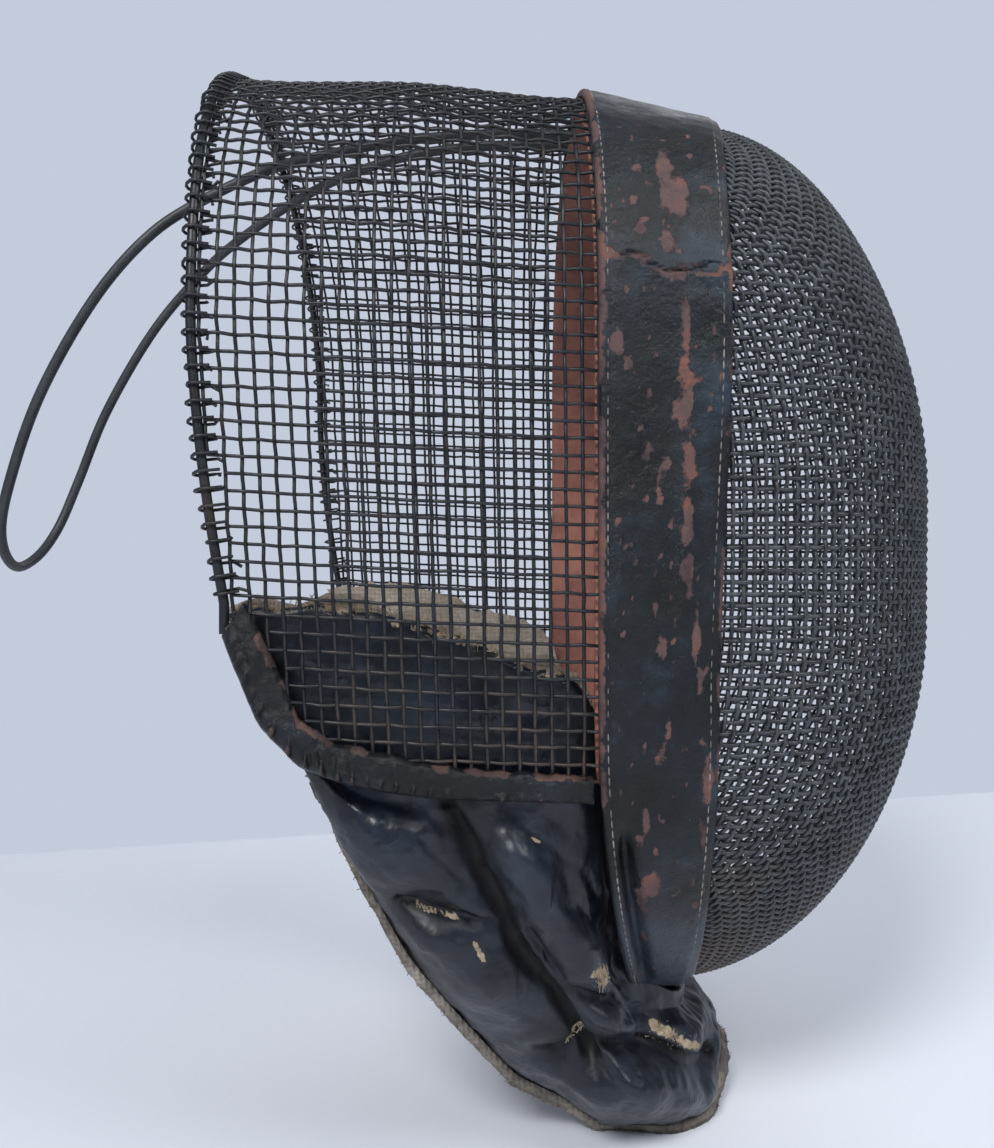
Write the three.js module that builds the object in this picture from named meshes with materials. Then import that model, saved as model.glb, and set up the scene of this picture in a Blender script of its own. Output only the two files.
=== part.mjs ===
// An old fencing mask, standing upright on the flat underside of its bib.
// Millimetres. X points the way the face looks, Y to the wearer's left, Z up, the floor at Z = 0.
import * as THREE from 'three';
import { mergeVertices } from 'three/addons/utils/BufferGeometryUtils.js';

// Outline of the mask seen from the front: a half round over straight sides, drawn in to a chin
const archCentreZ = 243;   // centre of the half round over the head
const sideLowZ = 140;      // the sides are straight down to here
const chinZ = 40;          // underside of the chin
const chinShare = 0.36;    // share of the outline, from chin to crown, that each stretch takes
const sideShare = 0.22;

// Walls and the room between them
const sideHalfWidth = 94;  // at the leather band's rear edge
const sideSwell = 3.2;     // growth towards the back
const swellLength = 60;    // the stretch behind the band over which it comes
const rimFlare = 1.5;      // last growth at the rear rim
const flareFromX = -48;
const flareLength = 24;
const sideCrown = 90.5;    // height over the arch centre, at the band's rear edge
const crownSwell = 5;
const frontHalfWidth = 90.5;
const frontCrown = 80.5;   // height of the front bowl's edge over the arch centre
const meshWall = 2;
const leatherWall = 1.6;
const leatherGap = 1.1;    // between the mesh and the leather on each side of it
const edgeGap = 0.8;       // between pieces that meet edge to edge

// Places along X
const bandRearX = 39;
const bandChinShift = 19;  // the band's rear edge moves forward by this under the chin
const meshUnderBand = 8;   // how far the side mesh reaches in under the band
const rimCrownX = -71;
const rimSideX = -66;
const rimFootX = -57.5;    // the rim leans forward towards its foot
const rimFootZ = 169;
const rimRadius = 2.2;
const noseX = 157.2;       // foremost point of the bowl
const noseZ = 174;
const bowlEdgeAngle = THREE.MathUtils.degToRad(85);

// Front edge of the band at the crown, the side, the low side and the chin
const bandFront = { crown: 84, side: 74.5, low: 71, chin: 75 };

// Leather trim on the side mesh's lower edge, from the band to the rear corner
const trimStations = [
  { x: 38, high: 123, lowX: 38, low: 115.6 },
  { x: 0.6, high: 126, lowX: -2, low: 117.5 },
  { x: -12.4, high: 129, lowX: -15, low: 119.5 },
  { x: -30.6, high: 132, lowX: -28, low: 122.5 },
  { x: -41, high: 137.5, lowX: -38, low: 126.5 },
  { x: -45, high: 146, lowX: -48.5, low: 138 },
  { x: -55.5, high: 168, lowX: -57.5, low: 160 },
];
const trimOutside = 3.4;   // how far the trim stands out from the middle of the mesh
const trimCrown = 0.8;     // the part of that by which it is rounded
const trimInside = 2.2;

// The bib, from its rear tip to the middle of the throat, on the right side.
// top: upper edge of the pad inside the mesh. seam: where it comes out under the trim, band and
// chin. hem: lower edge. puff: how far the padding swells out between seam and hem.
const bibStations = [
  { top: [-52, -87, 173], seam: [-40, -88, 123], hem: [-38, -86, 117], puff: 1, pad: 6 },
  { top: [-33, -87.5, 168], seam: [-24, -87.5, 119], hem: [-26, -78, 94], puff: 4, pad: 9 },
  { top: [-5, -88, 162], seam: [-2, -87.5, 115], hem: [-11, -66, 62], puff: 6, pad: 11 },
  { top: [15, -86.5, 154], seam: [18, -86, 112], hem: [5, -56.5, 38], puff: 7, pad: 12 },
  { top: [36, -85, 145], seam: [28, -83, 104], hem: [18.5, -47, 20], puff: 7, pad: 13 },
  { top: [48, -76, 112], seam: [34, -78, 86], hem: [32, -42, 11], puff: 7, pad: 14 },
  { top: [50, -58, 80], seam: [37, -65, 66], hem: [47, -38, 0], puff: 7, pad: 15 },
  { top: [46, -50, 47], seam: [45, -50, 44], hem: [58, -38.5, 0], puff: 6, pad: 15 },
  { top: [66, -38, 39.5], seam: [65, -38, 36], hem: [69, -39, 0], puff: 5, pad: 14 },
  { top: [72, -28, 36.5], seam: [71, -28, 33], hem: [81, -31, 1], puff: 3, pad: 12 },
  { top: [75, -17, 34.5], seam: [74, -17, 31], hem: [89, -16, 9], puff: 2, pad: 10 },
  { top: [77, 0, 33.5], seam: [76, 0, 30], hem: [91, 0, 13], puff: 2, pad: 9 },
];
const innerPad = 4.5;      // thickness of the pad inside the mesh
const tuckFrom = 0.66;     // share of the way down from which the outer face turns in to the hem
const hemOut = 0.4;        // what is left of the pad outside its middle there
const liningWall = 1.2;
const liningGap = 1.2;

// Middle of the back spring's wire on the right side, from under the crown to its rear end
const springRadius = 1.75;
const springRoute = [
  [68, -5, 323],
  [39, -5, 328.8],
  [15, -5, 329.3],
  [-3, -5.5, 328.3],
  [-21, -7, 325.8],
  [-44, -11, 319.8],
  [-64, -17, 312],
  [-89, -23, 297],
  [-101, -26, 287],
  [-117, -27, 268.5],
  [-136, -27, 236],
  [-146, -26, 210],
  [-152, -22, 192],
  [-155, -13, 182],
];
const springEnd = [-156.5, 0, 177.5];
const springRoom = 5.8;    // the inner band hangs this much lower at the crown, over the spring
const springRoomY = 26;    // half the width over which it does

const lerp = THREE.MathUtils.lerp;
const smooth = (value) => THREE.MathUtils.smoothstep(value, 0, 1);

// Height of the trim's upper edge at x, straight between its stations
function trimTop(x) {
  const last = trimStations.length - 1;
  if (x < trimStations[last].x) return trimStations[last].high;
  let row = 0;
  while (row < last - 1 && x < trimStations[row + 1].x) row += 1;
  const [from, to] = [trimStations[row], trimStations[row + 1]];
  return lerp(from.high, to.high, (x - from.x) / (to.x - from.x));
}

// One closed body from loose triangles, turned so that its faces point out
function closedBody(triangles) {
  let volume = 0;
  const kept = triangles.filter(([a, b, c]) => {
    volume += a.dot(new THREE.Vector3().crossVectors(b, c));
    const size = new THREE.Vector3().crossVectors(b.clone().sub(a), c.clone().sub(a)).length();
    return size > 1e-6;
  });
  const numbers = kept.flatMap(([a, b, c]) => {
    const corners = volume > 0 ? [a, b, c] : [a, c, b];
    return corners.flatMap((corner) => corner.toArray());
  });
  const geometry = new THREE.BufferGeometry();
  geometry.setAttribute('position', new THREE.Float32BufferAttribute(numbers, 3));
  return mergeVertices(geometry, 1e-4);
}

// A sheet with an outer and an inner face, both grids of rows by columns, closed at its edges.
// wrap joins the last column to the first; a row whose points coincide is a pole.
function sheet(outerAt, innerAt, rows, columns, wrap = false) {
  const grid = (pointAt) => Array.from({ length: rows + 1 }, (_, i) => (
    Array.from({ length: columns + (wrap ? 0 : 1) }, (__, j) => pointAt(i / rows, j / columns))
  ));
  const outer = grid(outerAt);
  const inner = grid(innerAt);
  const triangles = [];
  const quad = (a, b, c, d) => triangles.push([a, b, c], [a, c, d]);
  const next = (j) => (wrap ? (j + 1) % columns : j + 1);
  for (let j = 0; j < columns; j += 1) {
    const k = next(j);
    for (let i = 0; i < rows; i += 1) {
      quad(outer[i][j], outer[i][k], outer[i + 1][k], outer[i + 1][j]);
      quad(inner[i][j], inner[i + 1][j], inner[i + 1][k], inner[i][k]);
    }
    quad(outer[0][j], inner[0][j], inner[0][k], outer[0][k]);
    quad(outer[rows][j], outer[rows][k], inner[rows][k], inner[rows][j]);
  }
  if (!wrap) {
    for (let i = 0; i < rows; i += 1) {
      quad(outer[i][0], outer[i + 1][0], inner[i + 1][0], inner[i][0]);
      quad(outer[i][columns], inner[i][columns], inner[i + 1][columns], outer[i + 1][columns]);
    }
  }
  return closedBody(triangles);
}

// The surface's point moved by distance along its normal, away from the inside of the mask
function offsetFrom(pointAt, distance) {
  const step = 1e-3;
  return (u, v) => {
    const point = pointAt(u, v);
    const alongU = pointAt(Math.min(u + step, 1), v).sub(pointAt(Math.max(u - step, 0), v));
    const alongV = pointAt(u, v + step).sub(pointAt(u, v - step));
    const normal = new THREE.Vector3().crossVectors(alongU, alongV);
    if (normal.lengthSq() < 1e-16) return point.add(new THREE.Vector3(distance, 0, 0));
    normal.normalize();
    const inside = new THREE.Vector3(
      Math.min(point.x, bandFront.low),
      0,
      THREE.MathUtils.clamp(point.z, sideLowZ, archCentreZ),
    );
    if (normal.dot(inside.sub(point)) > 0) normal.negate();
    return point.addScaledVector(normal, distance);
  };
}

function tube(points, radius, sides, steps) {
  const path = new THREE.CatmullRomCurve3(points, false, 'centripetal');
  const round = new THREE.Shape(Array.from({ length: sides }, (_, i) => {
    const turn = (2 * Math.PI * (i + 0.5)) / sides;
    return new THREE.Vector2(radius * Math.cos(turn), radius * Math.sin(turn));
  }));
  const options = { steps, bevelEnabled: false, extrudePath: path };
  const geometry = new THREE.ExtrudeGeometry(round, options);
  geometry.deleteAttribute('normal');
  geometry.deleteAttribute('uv');
  return mergeVertices(geometry, 1e-4);
}

// How far the sides have drawn in at this height, as a share of the half width
function drawnIn(z) {
  return Math.sqrt(1 - (Math.max(0, sideLowZ - z) / (sideLowZ - chinZ)) ** 2);
}

// Half of the front outline, h from 0 at the chin to 1 at the crown. arc is 0 at the side and 1
// at the crown, chin is 0 at the side and 1 under the chin.
function outline(h, halfWidth, crownHeight) {
  if (h < chinShare) {
    const turn = (Math.PI / 2) * (h / chinShare);
    const z = sideLowZ - (sideLowZ - chinZ) * Math.cos(turn);
    return { y: halfWidth * Math.sin(turn), z, arc: 0, chin: Math.cos(turn) };
  }
  if (h < chinShare + sideShare) {
    const z = lerp(sideLowZ, archCentreZ, (h - chinShare) / sideShare);
    return { y: halfWidth, z, arc: 0, chin: 0 };
  }
  const turn = (Math.PI / 2) * ((h - chinShare - sideShare) / (1 - chinShare - sideShare));
  const z = archCentreZ + crownHeight * Math.sin(turn);
  return { y: halfWidth * Math.cos(turn), z, arc: Math.sin(turn), chin: 0 };
}

// v runs once round the mask from the chin, up the right side: the side's sign and h of outline()
function around(v) {
  const turn = ((v % 1) + 1) % 1;
  return turn < 0.5 ? { sign: -1, h: turn * 2 } : { sign: 1, h: 2 - turn * 2 };
}

// Half width and crown height of the side mesh's middle surface at x
function sideSizeAt(x) {
  const swell = smooth((bandRearX - x) / swellLength);
  const flare = rimFlare * Math.max(0, (flareFromX - x) / flareLength) ** 2;
  const under = Math.max(0, x - bandRearX);
  const slopeY = (sideHalfWidth - frontHalfWidth) / (bandFront.side - bandRearX);
  const slopeZ = (sideCrown - frontCrown) / (bandFront.crown - bandRearX);
  return {
    halfWidth: sideHalfWidth + sideSwell * swell + flare - slopeY * under,
    crown: sideCrown + crownSwell * swell + flare - slopeZ * under,
  };
}

// Edge of the front bowl, which is also the band's front edge
function bowlEdge(v) {
  const { sign, h } = around(v);
  const at = outline(h, frontHalfWidth, frontCrown);
  const low = smooth((archCentreZ - at.z) / (archCentreZ - sideLowZ));
  const side = lerp(bandFront.side, bandFront.low, low);
  const x = side + (bandFront.crown - bandFront.side) * at.arc ** 3
    + (bandFront.chin - bandFront.low) * at.chin ** 4;
  return new THREE.Vector3(x, sign * at.y, at.z);
}

// Front bowl from its foremost point, u = 0, to its edge, u = 1
function bowlPoint(u, v) {
  const edge = bowlEdge(v);
  const turn = bowlEdgeAngle * u;
  const across = Math.sin(turn) / Math.sin(bowlEdgeAngle);
  const ahead = (Math.cos(turn) - Math.cos(bowlEdgeAngle)) / (1 - Math.cos(bowlEdgeAngle));
  return new THREE.Vector3(
    lerp(edge.x, noseX, ahead),
    edge.y * across,
    lerp(noseZ, edge.z, across),
  );
}

// The band's middle surface from its rear edge, u = 0, to its front edge, u = 1
function bandPoint(u, v) {
  const { sign, h } = around(v);
  const at = outline(h, sideHalfWidth, sideCrown);
  const rearX = bandRearX + bandChinShift * at.chin ** 2;
  return new THREE.Vector3(rearX, sign * at.y, at.z).lerp(bowlEdge(v), u);
}

// The front mesh: the bowl, and past its edge a turned-in strip under the band
function frontPoint(u, v) {
  const bowlShare = 0.9;
  const underBand = 0.45;
  if (u <= bowlShare) return bowlPoint(u / bowlShare, v);
  return bandPoint(1 - (underBand * (u - bowlShare)) / (1 - bowlShare), v);
}

// The side mesh from under the band, u = 0, to the rear rim, u = 1, and from the right side's
// trim, v = 0, over the crown to the left side's, v = 1
const archShare = 0.58;
function sidePoint(u, v) {
  const sign = v < 0.5 ? -1 : 1;
  const h = 1 - Math.abs(1 - 2 * v);
  const share = Math.min(h / (1 - archShare), 1);
  const turn = (Math.PI / 2) * Math.max(0, (h - 1 + archShare) / archShare);
  const rearX = share < 1
    ? lerp(rimFootX, rimSideX, 1 - (1 - share) ** 1.6)
    : lerp(rimSideX, rimCrownX, Math.sin(turn) ** 2);
  const x = lerp(bandRearX + meshUnderBand, rearX, u);
  const { halfWidth, crown } = sideSizeAt(x);
  const z = share < 1
    ? lerp(trimTop(x) + edgeGap, archCentreZ, share)
    : archCentreZ + crown * Math.sin(turn);
  return new THREE.Vector3(x, sign * halfWidth * Math.cos(turn) * drawnIn(z), z);
}

function frontMesh() {
  const half = meshWall / 2;
  return sheet(offsetFrom(frontPoint, half), offsetFrom(frontPoint, -half), 11, 48, true);
}

function sideMesh() {
  const half = meshWall / 2;
  const depth = bandRearX + meshUnderBand - rimSideX;
  const last = 1 - (rimRadius + 2 * edgeGap) / depth;
  const at = (u, v) => sidePoint(u * last, v);
  return sheet(offsetFrom(at, half), offsetFrom(at, -half), 9, 36);
}

function bandOuter() {
  const inner = meshWall / 2 + leatherGap;
  const at = (distance) => offsetFrom(bandPoint, distance);
  return sheet(at(inner + leatherWall), at(inner), 2, 56, true);
}

// The inner band hangs lower at the crown, where the back spring's legs lie over it
function bandInner() {
  const outer = -meshWall / 2 - leatherGap;
  const at = (distance) => {
    const face = offsetFrom(bandPoint, distance);
    return (u, v) => {
      const point = face(u, v);
      const near = Math.max(0, 1 - (point.y / springRoomY) ** 2);
      if (point.z > archCentreZ) point.z -= springRoom * near ** 0.5;
      return point;
    };
  };
  return sheet(at(outer), at(outer - leatherWall), 2, 56, true);
}

function rimWire() {
  const steps = 44;
  const points = Array.from({ length: steps + 1 }, (_, i) => sidePoint(1, i / steps));
  return tube(points, rimRadius, 8, steps);
}

// Trim on one side: sign is -1 on the right
function trim(sign) {
  const columns = trimStations.length - 1;
  const face = (out, crown) => (u, v) => {
    const station = trimStations[Math.round(v * columns)];
    const x = lerp(station.x, station.lowX, u);
    const z = lerp(station.high, station.low, u);
    const y = sideSizeAt(x).halfWidth * drawnIn(z) + out + crown * Math.sin(Math.PI * u);
    return new THREE.Vector3(x, sign * y, z);
  };
  return sheet(face(trimOutside - trimCrown, trimCrown), face(-trimInside, 0), 4, columns);
}

// The bib's stations right round the throat, the left side mirrored from the right
const bibRound = [
  ...bibStations,
  ...bibStations.slice(0, -1).reverse().map((station) => {
    const mirrored = ([x, y, z]) => [x, -y, z];
    const { top, seam, hem } = station;
    return { ...station, top: mirrored(top), seam: mirrored(seam), hem: mirrored(hem) };
  }),
];

// Rows from the pad's top to the hem. side: 0 inside the mesh, 1 outside. down: from seam to hem.
const bibRows = [
  { up: 1, down: 0, side: 0 },
  { up: 0.5, down: 0, side: 0 },
  { up: 0.08, down: 0, side: 0 },
  { up: 0, down: 0.03, side: 0.8 },
  { up: 0, down: 0.2, side: 1 },
  { up: 0, down: 0.4, side: 1 },
  { up: 0, down: 0.6, side: 1 },
  { up: 0, down: 0.8, side: 1 },
  { up: 0, down: 0.92, side: 1 },
  { up: 0, down: 1, side: 1 },
];

// Middle of the bib's sheet, before it has a thickness
function bibMiddle(row, column) {
  const { up, down } = bibRows[THREE.MathUtils.clamp(row, 0, bibRows.length - 1)];
  const station = bibRound[THREE.MathUtils.clamp(column, 0, bibRound.length - 1)];
  const [top, seam, hem] = [station.top, station.seam, station.hem].map(
    (place) => new THREE.Vector3(...place),
  );
  return up > 0 ? seam.lerp(top, up) : seam.lerp(hem, down);
}

// Point of the bib's outer face, or of its inner one, which inset moves in to where the lining
// lies. The thickness is laid level, so that the underside is flat.
function bibPoint(row, column, outFace, inset) {
  const across = bibMiddle(row + 1, column).sub(bibMiddle(row - 1, column));
  const along = bibMiddle(row, column + 1).sub(bibMiddle(row, column - 1));
  const outward = across.cross(along).setZ(0).normalize();
  const { down, side } = bibRows[row];
  const { pad, puff } = bibRound[column];
  const swell = side * puff * Math.sin(Math.PI * down) ** 0.8;
  const tuck = Math.sqrt(1 - (Math.max(0, down - tuckFrom) / (1 - tuckFrom)) ** 2);
  const outer = lerp(hemOut, lerp(innerPad, pad, side) / 2, tuck) + swell;
  const inner = lerp(innerPad, pad, down) / 2 + inset;
  return bibMiddle(row, column).addScaledVector(outward, outFace ? outer : -inner);
}

function bibSheet(outerAt, innerAt) {
  const rows = bibRows.length - 1;
  const columns = bibRound.length - 1;
  const onGrid = (pointAt) => (u, v) => pointAt(Math.round(u * rows), Math.round(v * columns));
  return sheet(onGrid(outerAt), onGrid(innerAt), rows, columns);
}

function bib() {
  return bibSheet((i, j) => bibPoint(i, j, true, 0), (i, j) => bibPoint(i, j, false, 0));
}

function bibLining() {
  const outer = (i, j) => bibPoint(i, j, false, liningGap);
  const inner = (i, j) => bibPoint(i, j, false, liningGap + liningWall);
  return bibSheet(outer, inner);
}

function backSpring() {
  const right = springRoute.map((place) => new THREE.Vector3(...place));
  const left = springRoute.map(([x, y, z]) => new THREE.Vector3(x, -y, z)).reverse();
  return tube([...right, new THREE.Vector3(...springEnd), ...left], springRadius, 8, 76);
}

const material = (color, roughness, metalness = 0) => (
  new THREE.MeshStandardMaterial({ color, roughness, metalness })
);
const finishes = {
  wire: material(0x3a3f45, 0.5, 0.8),
  leather: material(0x20262c, 0.45),
  rawLeather: material(0x7a4238, 0.8),
  canvas: material(0x938a7d, 0.95),
  tubing: material(0x2a2f33, 0.5),
};

const mask = new THREE.Group();
function add(name, geometry, finish) {
  const piece = new THREE.Mesh(geometry, finish);
  piece.name = name;
  mask.add(piece);
}

add('front_mesh', frontMesh(), finishes.wire);
add('side_mesh', sideMesh(), finishes.wire);
add('rim_wire', rimWire(), finishes.wire);
add('band_outer', bandOuter(), finishes.leather);
add('band_inner', bandInner(), finishes.rawLeather);
add('bottom_trim_right', trim(-1), finishes.leather);
add('bottom_trim_left', trim(1), finishes.leather);
add('bib', bib(), finishes.leather);
add('bib_lining', bibLining(), finishes.canvas);
add('back_spring', backSpring(), finishes.tubing);

export default mask;
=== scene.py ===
# Old fencing mask: woven wire, a painted leather band, a padded bib and a sprung loop at the back.
# Lengths in the tables are millimetres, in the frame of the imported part.
import math
import bpy
import numpy as np
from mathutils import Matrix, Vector, noise


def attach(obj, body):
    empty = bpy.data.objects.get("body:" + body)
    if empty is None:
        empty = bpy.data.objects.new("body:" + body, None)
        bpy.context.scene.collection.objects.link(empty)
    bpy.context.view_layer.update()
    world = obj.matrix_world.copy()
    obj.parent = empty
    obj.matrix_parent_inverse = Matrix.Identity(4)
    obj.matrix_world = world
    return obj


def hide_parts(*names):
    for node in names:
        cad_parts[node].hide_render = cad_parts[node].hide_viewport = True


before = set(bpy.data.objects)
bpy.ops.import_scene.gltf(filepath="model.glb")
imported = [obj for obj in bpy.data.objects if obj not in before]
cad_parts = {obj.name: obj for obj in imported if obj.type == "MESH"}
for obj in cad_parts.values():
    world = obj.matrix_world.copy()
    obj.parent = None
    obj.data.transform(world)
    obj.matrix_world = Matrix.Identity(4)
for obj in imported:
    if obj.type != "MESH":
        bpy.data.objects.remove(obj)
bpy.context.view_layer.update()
scene = bpy.context.scene
scene.view_settings.view_transform = "Standard"

maskForm = {  # the mask's own lines, as the solid model has them
    "archCentreZ": 243, "sideLowZ": 140, "chinZ": 40, "chinShare": 0.36, "sideShare": 0.22,
    "halfWidth": 94, "swell": 3.2, "flare": 1.5, "crown": 90.5, "crownSwell": 5,
    "frontHalfWidth": 90.5, "frontCrown": 80.5, "bandRearX": 39, "bandChinShift": 19,
    "rimCrownX": -71, "rimSideX": -66, "rimFootX": -57.5, "rimFootZ": 169,
    "noseX": 157.2, "noseZ": 174, "edgeAngle": 85,
    "archRadius": 94.7, "swellLength": 60, "flareFromX": -48, "flareLength": 24,
}
bandFront = {"crown": 84, "side": 74.5, "low": 71, "chin": 75}


def smooth(value):
    value = np.clip(value, 0, 1)
    return value * value * (3 - 2 * value)


def mix(a, b, share):
    return a + (b - a) * share


def unit(vectors):
    return vectors / np.maximum(np.linalg.norm(vectors, axis=-1, keepdims=True), 1e-9)


def drawnIn(z):
    low = maskForm["sideLowZ"]
    return np.sqrt(1 - np.minimum(np.maximum(0, low - z) / (low - maskForm["chinZ"]), 1) ** 2)


def outline(h, halfWidth, crown):  # y, z and the shares arc and chin, from the chin h=0 to the crown h=1
    f = maskForm
    low, high = f["chinShare"], f["chinShare"] + f["sideShare"]
    chinTurn = np.pi / 2 * np.clip(h / low, 0, 1)
    archTurn = np.pi / 2 * np.clip((h - high) / (1 - high), 0, 1)
    y = halfWidth * np.sin(chinTurn) * np.cos(archTurn)
    side = mix(f["sideLowZ"], f["archCentreZ"], np.clip((h - low) / f["sideShare"], 0, 1))
    z = np.where(h < low, f["sideLowZ"] - (f["sideLowZ"] - f["chinZ"]) * np.cos(chinTurn), side)
    z = np.where(h > high, f["archCentreZ"] + crown * np.sin(archTurn), z)
    return y, z, np.sin(archTurn), np.cos(chinTurn)


def around(v):  # v runs from the chin up the wearer's right side and down the left
    turn = np.mod(v, 1)
    return np.where(turn < 0.5, -1, 1), np.where(turn < 0.5, turn * 2, 2 - turn * 2)


def bowlEdge(v):
    sign, h = around(v)
    y, z, arc, chin = outline(h, maskForm["frontHalfWidth"], maskForm["frontCrown"])
    low = smooth((maskForm["archCentreZ"] - z) / (maskForm["archCentreZ"] - maskForm["sideLowZ"]))
    x = mix(bandFront["side"], bandFront["low"], low)
    x = x + (bandFront["crown"] - bandFront["side"]) * arc ** 3
    x = x + (bandFront["chin"] - bandFront["low"]) * chin ** 4
    return np.stack([x, sign * y, z], -1)


def bandSurface(u, v):
    sign, h = around(v)
    y, z, _, chin = outline(h, maskForm["halfWidth"], maskForm["crown"])
    rear = np.stack([maskForm["bandRearX"] + maskForm["bandChinShift"] * chin ** 2, sign * y, z], -1)
    return mix(rear, bowlEdge(v), u[..., None])


def sideSizeAt(x):
    f = maskForm
    swell = smooth((f["bandRearX"] - x) / f["swellLength"])
    flare = f["flare"] * np.maximum(0, (f["flareFromX"] - x) / f["flareLength"]) ** 2
    under = np.maximum(0, x - f["bandRearX"])
    narrowing = (f["halfWidth"] - f["frontHalfWidth"]) / (bandFront["side"] - f["bandRearX"])
    lowering = (f["crown"] - f["frontCrown"]) / (bandFront["crown"] - f["bandRearX"])
    return (f["halfWidth"] + f["swell"] * swell + flare - narrowing * under,
            f["crown"] + f["crownSwell"] * swell + flare - lowering * under)


def outwardOf(points):  # a point well inside the mask, beside each of these
    inside = np.stack([np.minimum(points[..., 0], bandFront["low"]), 0 * points[..., 1],
                       np.clip(points[..., 2], maskForm["sideLowZ"], maskForm["archCentreZ"])], -1)
    return points - inside


def gridNormals(grid, wrap=False):
    if wrap:
        along = np.roll(grid, -1, 1) - np.roll(grid, 1, 1)
    else:
        along = np.gradient(grid, axis=1)
    across = np.gradient(grid, axis=0)
    normals = unit(np.cross(across, along))
    turned = np.sum(normals * outwardOf(grid), -1, keepdims=True) < 0
    return np.where(turned, -normals, normals)


def hexColour(code):
    values = [int(code[i:i + 2], 16) / 255 for i in (1, 3, 5)]
    linear = [c / 12.92 if c <= 0.04045 else ((c + 0.055) / 1.055) ** 2.4 for c in values]
    return (*linear, 1)


def link(tree, node, sources):  # a node given as a source means its first output
    for key, source in sources.items():
        tree.links.new(source.outputs[0] if hasattr(source, "outputs") else source, node.inputs[key])


def addNode(tree, kind, values=None, links=None, stops=None, **settings):
    node = tree.nodes.new(kind)
    for key, value in settings.items():
        setattr(node, key, value)
    for key, value in (values or {}).items():
        node.inputs[key].default_value = value
    link(tree, node, links or {})
    if stops:
        ramp = node.color_ramp
        while len(ramp.elements) < len(stops):
            ramp.elements.new(0.5)
        for element, (place, code) in zip(ramp.elements, stops):
            element.position = place
            element.color = hexColour(code) if isinstance(code, str) else (code, code, code, 1)
    return node


def newMaterial(name):
    material = bpy.data.materials.new(name)
    material.use_nodes = True
    tree = material.node_tree
    place = addNode(tree, "ShaderNodeTexCoord").outputs["Object"]
    return material, tree, tree.nodes["Principled BSDF"], place


def makePiece(name, mesh, material=None):
    piece = bpy.data.objects.new(name, mesh)
    scene.collection.objects.link(piece)
    if material:
        mesh.materials.append(material)
    return piece


def standIn(piece, node):
    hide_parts(node)
    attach(piece, "root")


def meshFrom(name, points, quads, uv=None, attributes=None):
    mesh = bpy.data.meshes.new(name)
    mesh.from_pydata((points / 1000).tolist(), [], quads)
    mesh.polygons.foreach_set("use_smooth", [True] * len(mesh.polygons))
    if uv is not None:
        layer = mesh.uv_layers.new(name="surface")
        loops = np.zeros(len(mesh.loops), int)
        mesh.loops.foreach_get("vertex_index", loops)
        layer.data.foreach_set("uv", (uv[loops] / 1000).astype(np.float32).ravel())
    for key, values in (attributes or {}).items():
        mesh.attributes.new(key, "FLOAT", "POINT").data.foreach_set("value", values.astype(np.float32))
    mesh.validate()
    return mesh


def sheetFaces(rows, columns, wrap):  # quads of two grids laid face to face and closed at the edges
    count = rows * columns
    at = lambda side, i, j: side * count + i * columns + j % columns
    quads = []
    last = columns if wrap else columns - 1
    for j in range(last):
        for i in range(rows - 1):
            quads.append((at(0, i, j), at(0, i + 1, j), at(0, i + 1, j + 1), at(0, i, j + 1)))
            quads.append((at(1, i, j), at(1, i, j + 1), at(1, i + 1, j + 1), at(1, i + 1, j)))
        quads.append((at(0, 0, j), at(0, 0, j + 1), at(1, 0, j + 1), at(1, 0, j)))
        end = rows - 1
        quads.append((at(0, end, j), at(1, end, j), at(1, end, j + 1), at(0, end, j + 1)))
    if not wrap:
        for i in range(rows - 1):
            end = columns - 1
            quads.append((at(0, i, 0), at(1, i, 0), at(1, i + 1, 0), at(0, i + 1, 0)))
            quads.append((at(0, i, end), at(0, i + 1, end), at(1, i + 1, end), at(1, i, end)))
    return quads


def sheetMesh(name, outer, inner, wrap=False, attributes=None):
    rows, columns = outer.shape[:2]
    points = np.concatenate([outer.reshape(-1, 3), inner.reshape(-1, 3)])
    across = np.cumsum(np.linalg.norm(np.diff(outer, axis=0, prepend=outer[:1]), axis=-1), 0)
    along = np.cumsum(np.linalg.norm(np.diff(outer, axis=1, prepend=outer[:, :1]), axis=-1), 1)
    along = np.broadcast_to(along.mean(0), along.shape)
    uv = np.tile(np.stack([across, along], -1).reshape(-1, 2), (2, 1))
    quads = sheetFaces(rows, columns, wrap)
    corners = points[np.array(quads)]  # turned round if the volume comes out negative
    volume = sum(np.sum(corners[:, 0] * np.cross(corners[:, a], corners[:, b])) for a, b in ((1, 2), (2, 3)))
    if volume < 0:
        quads = [quad[::-1] for quad in quads]
    double = {key: np.tile(value.reshape(-1), 2) for key, value in (attributes or {}).items()}
    return meshFrom(name, points, quads, uv, double)


def linesObject(lines):
    points = np.concatenate(lines) / 1000
    starts = np.cumsum([0] + [len(line) for line in lines])
    edges = np.concatenate([
        np.stack([np.arange(a, b - 1), np.arange(a + 1, b)], 1) for a, b in zip(starts, starts[1:])])
    mesh = bpy.data.meshes.new("lines")
    mesh.vertices.add(len(points))
    mesh.vertices.foreach_set("co", points.astype(np.float32).ravel())
    mesh.edges.add(len(edges))
    mesh.edges.foreach_set("vertices", edges.astype(np.int32).ravel())
    mesh.update()
    return makePiece("lines", mesh)


def runTree(name, source, tree, inputs):  # the tree's result as a plain mesh, under a new name
    modifier = source.modifiers.new("shape", "NODES")
    modifier.node_group = tree
    for item in tree.interface.items_tree:
        if item.in_out == "INPUT" and item.name in inputs:
            modifier[item.identifier] = inputs[item.name]
    graph = bpy.context.evaluated_depsgraph_get()
    mesh = bpy.data.meshes.new_from_object(source.evaluated_get(graph), depsgraph=graph)
    bpy.data.objects.remove(source)
    mesh.name = name
    return makePiece(name, mesh)


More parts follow.
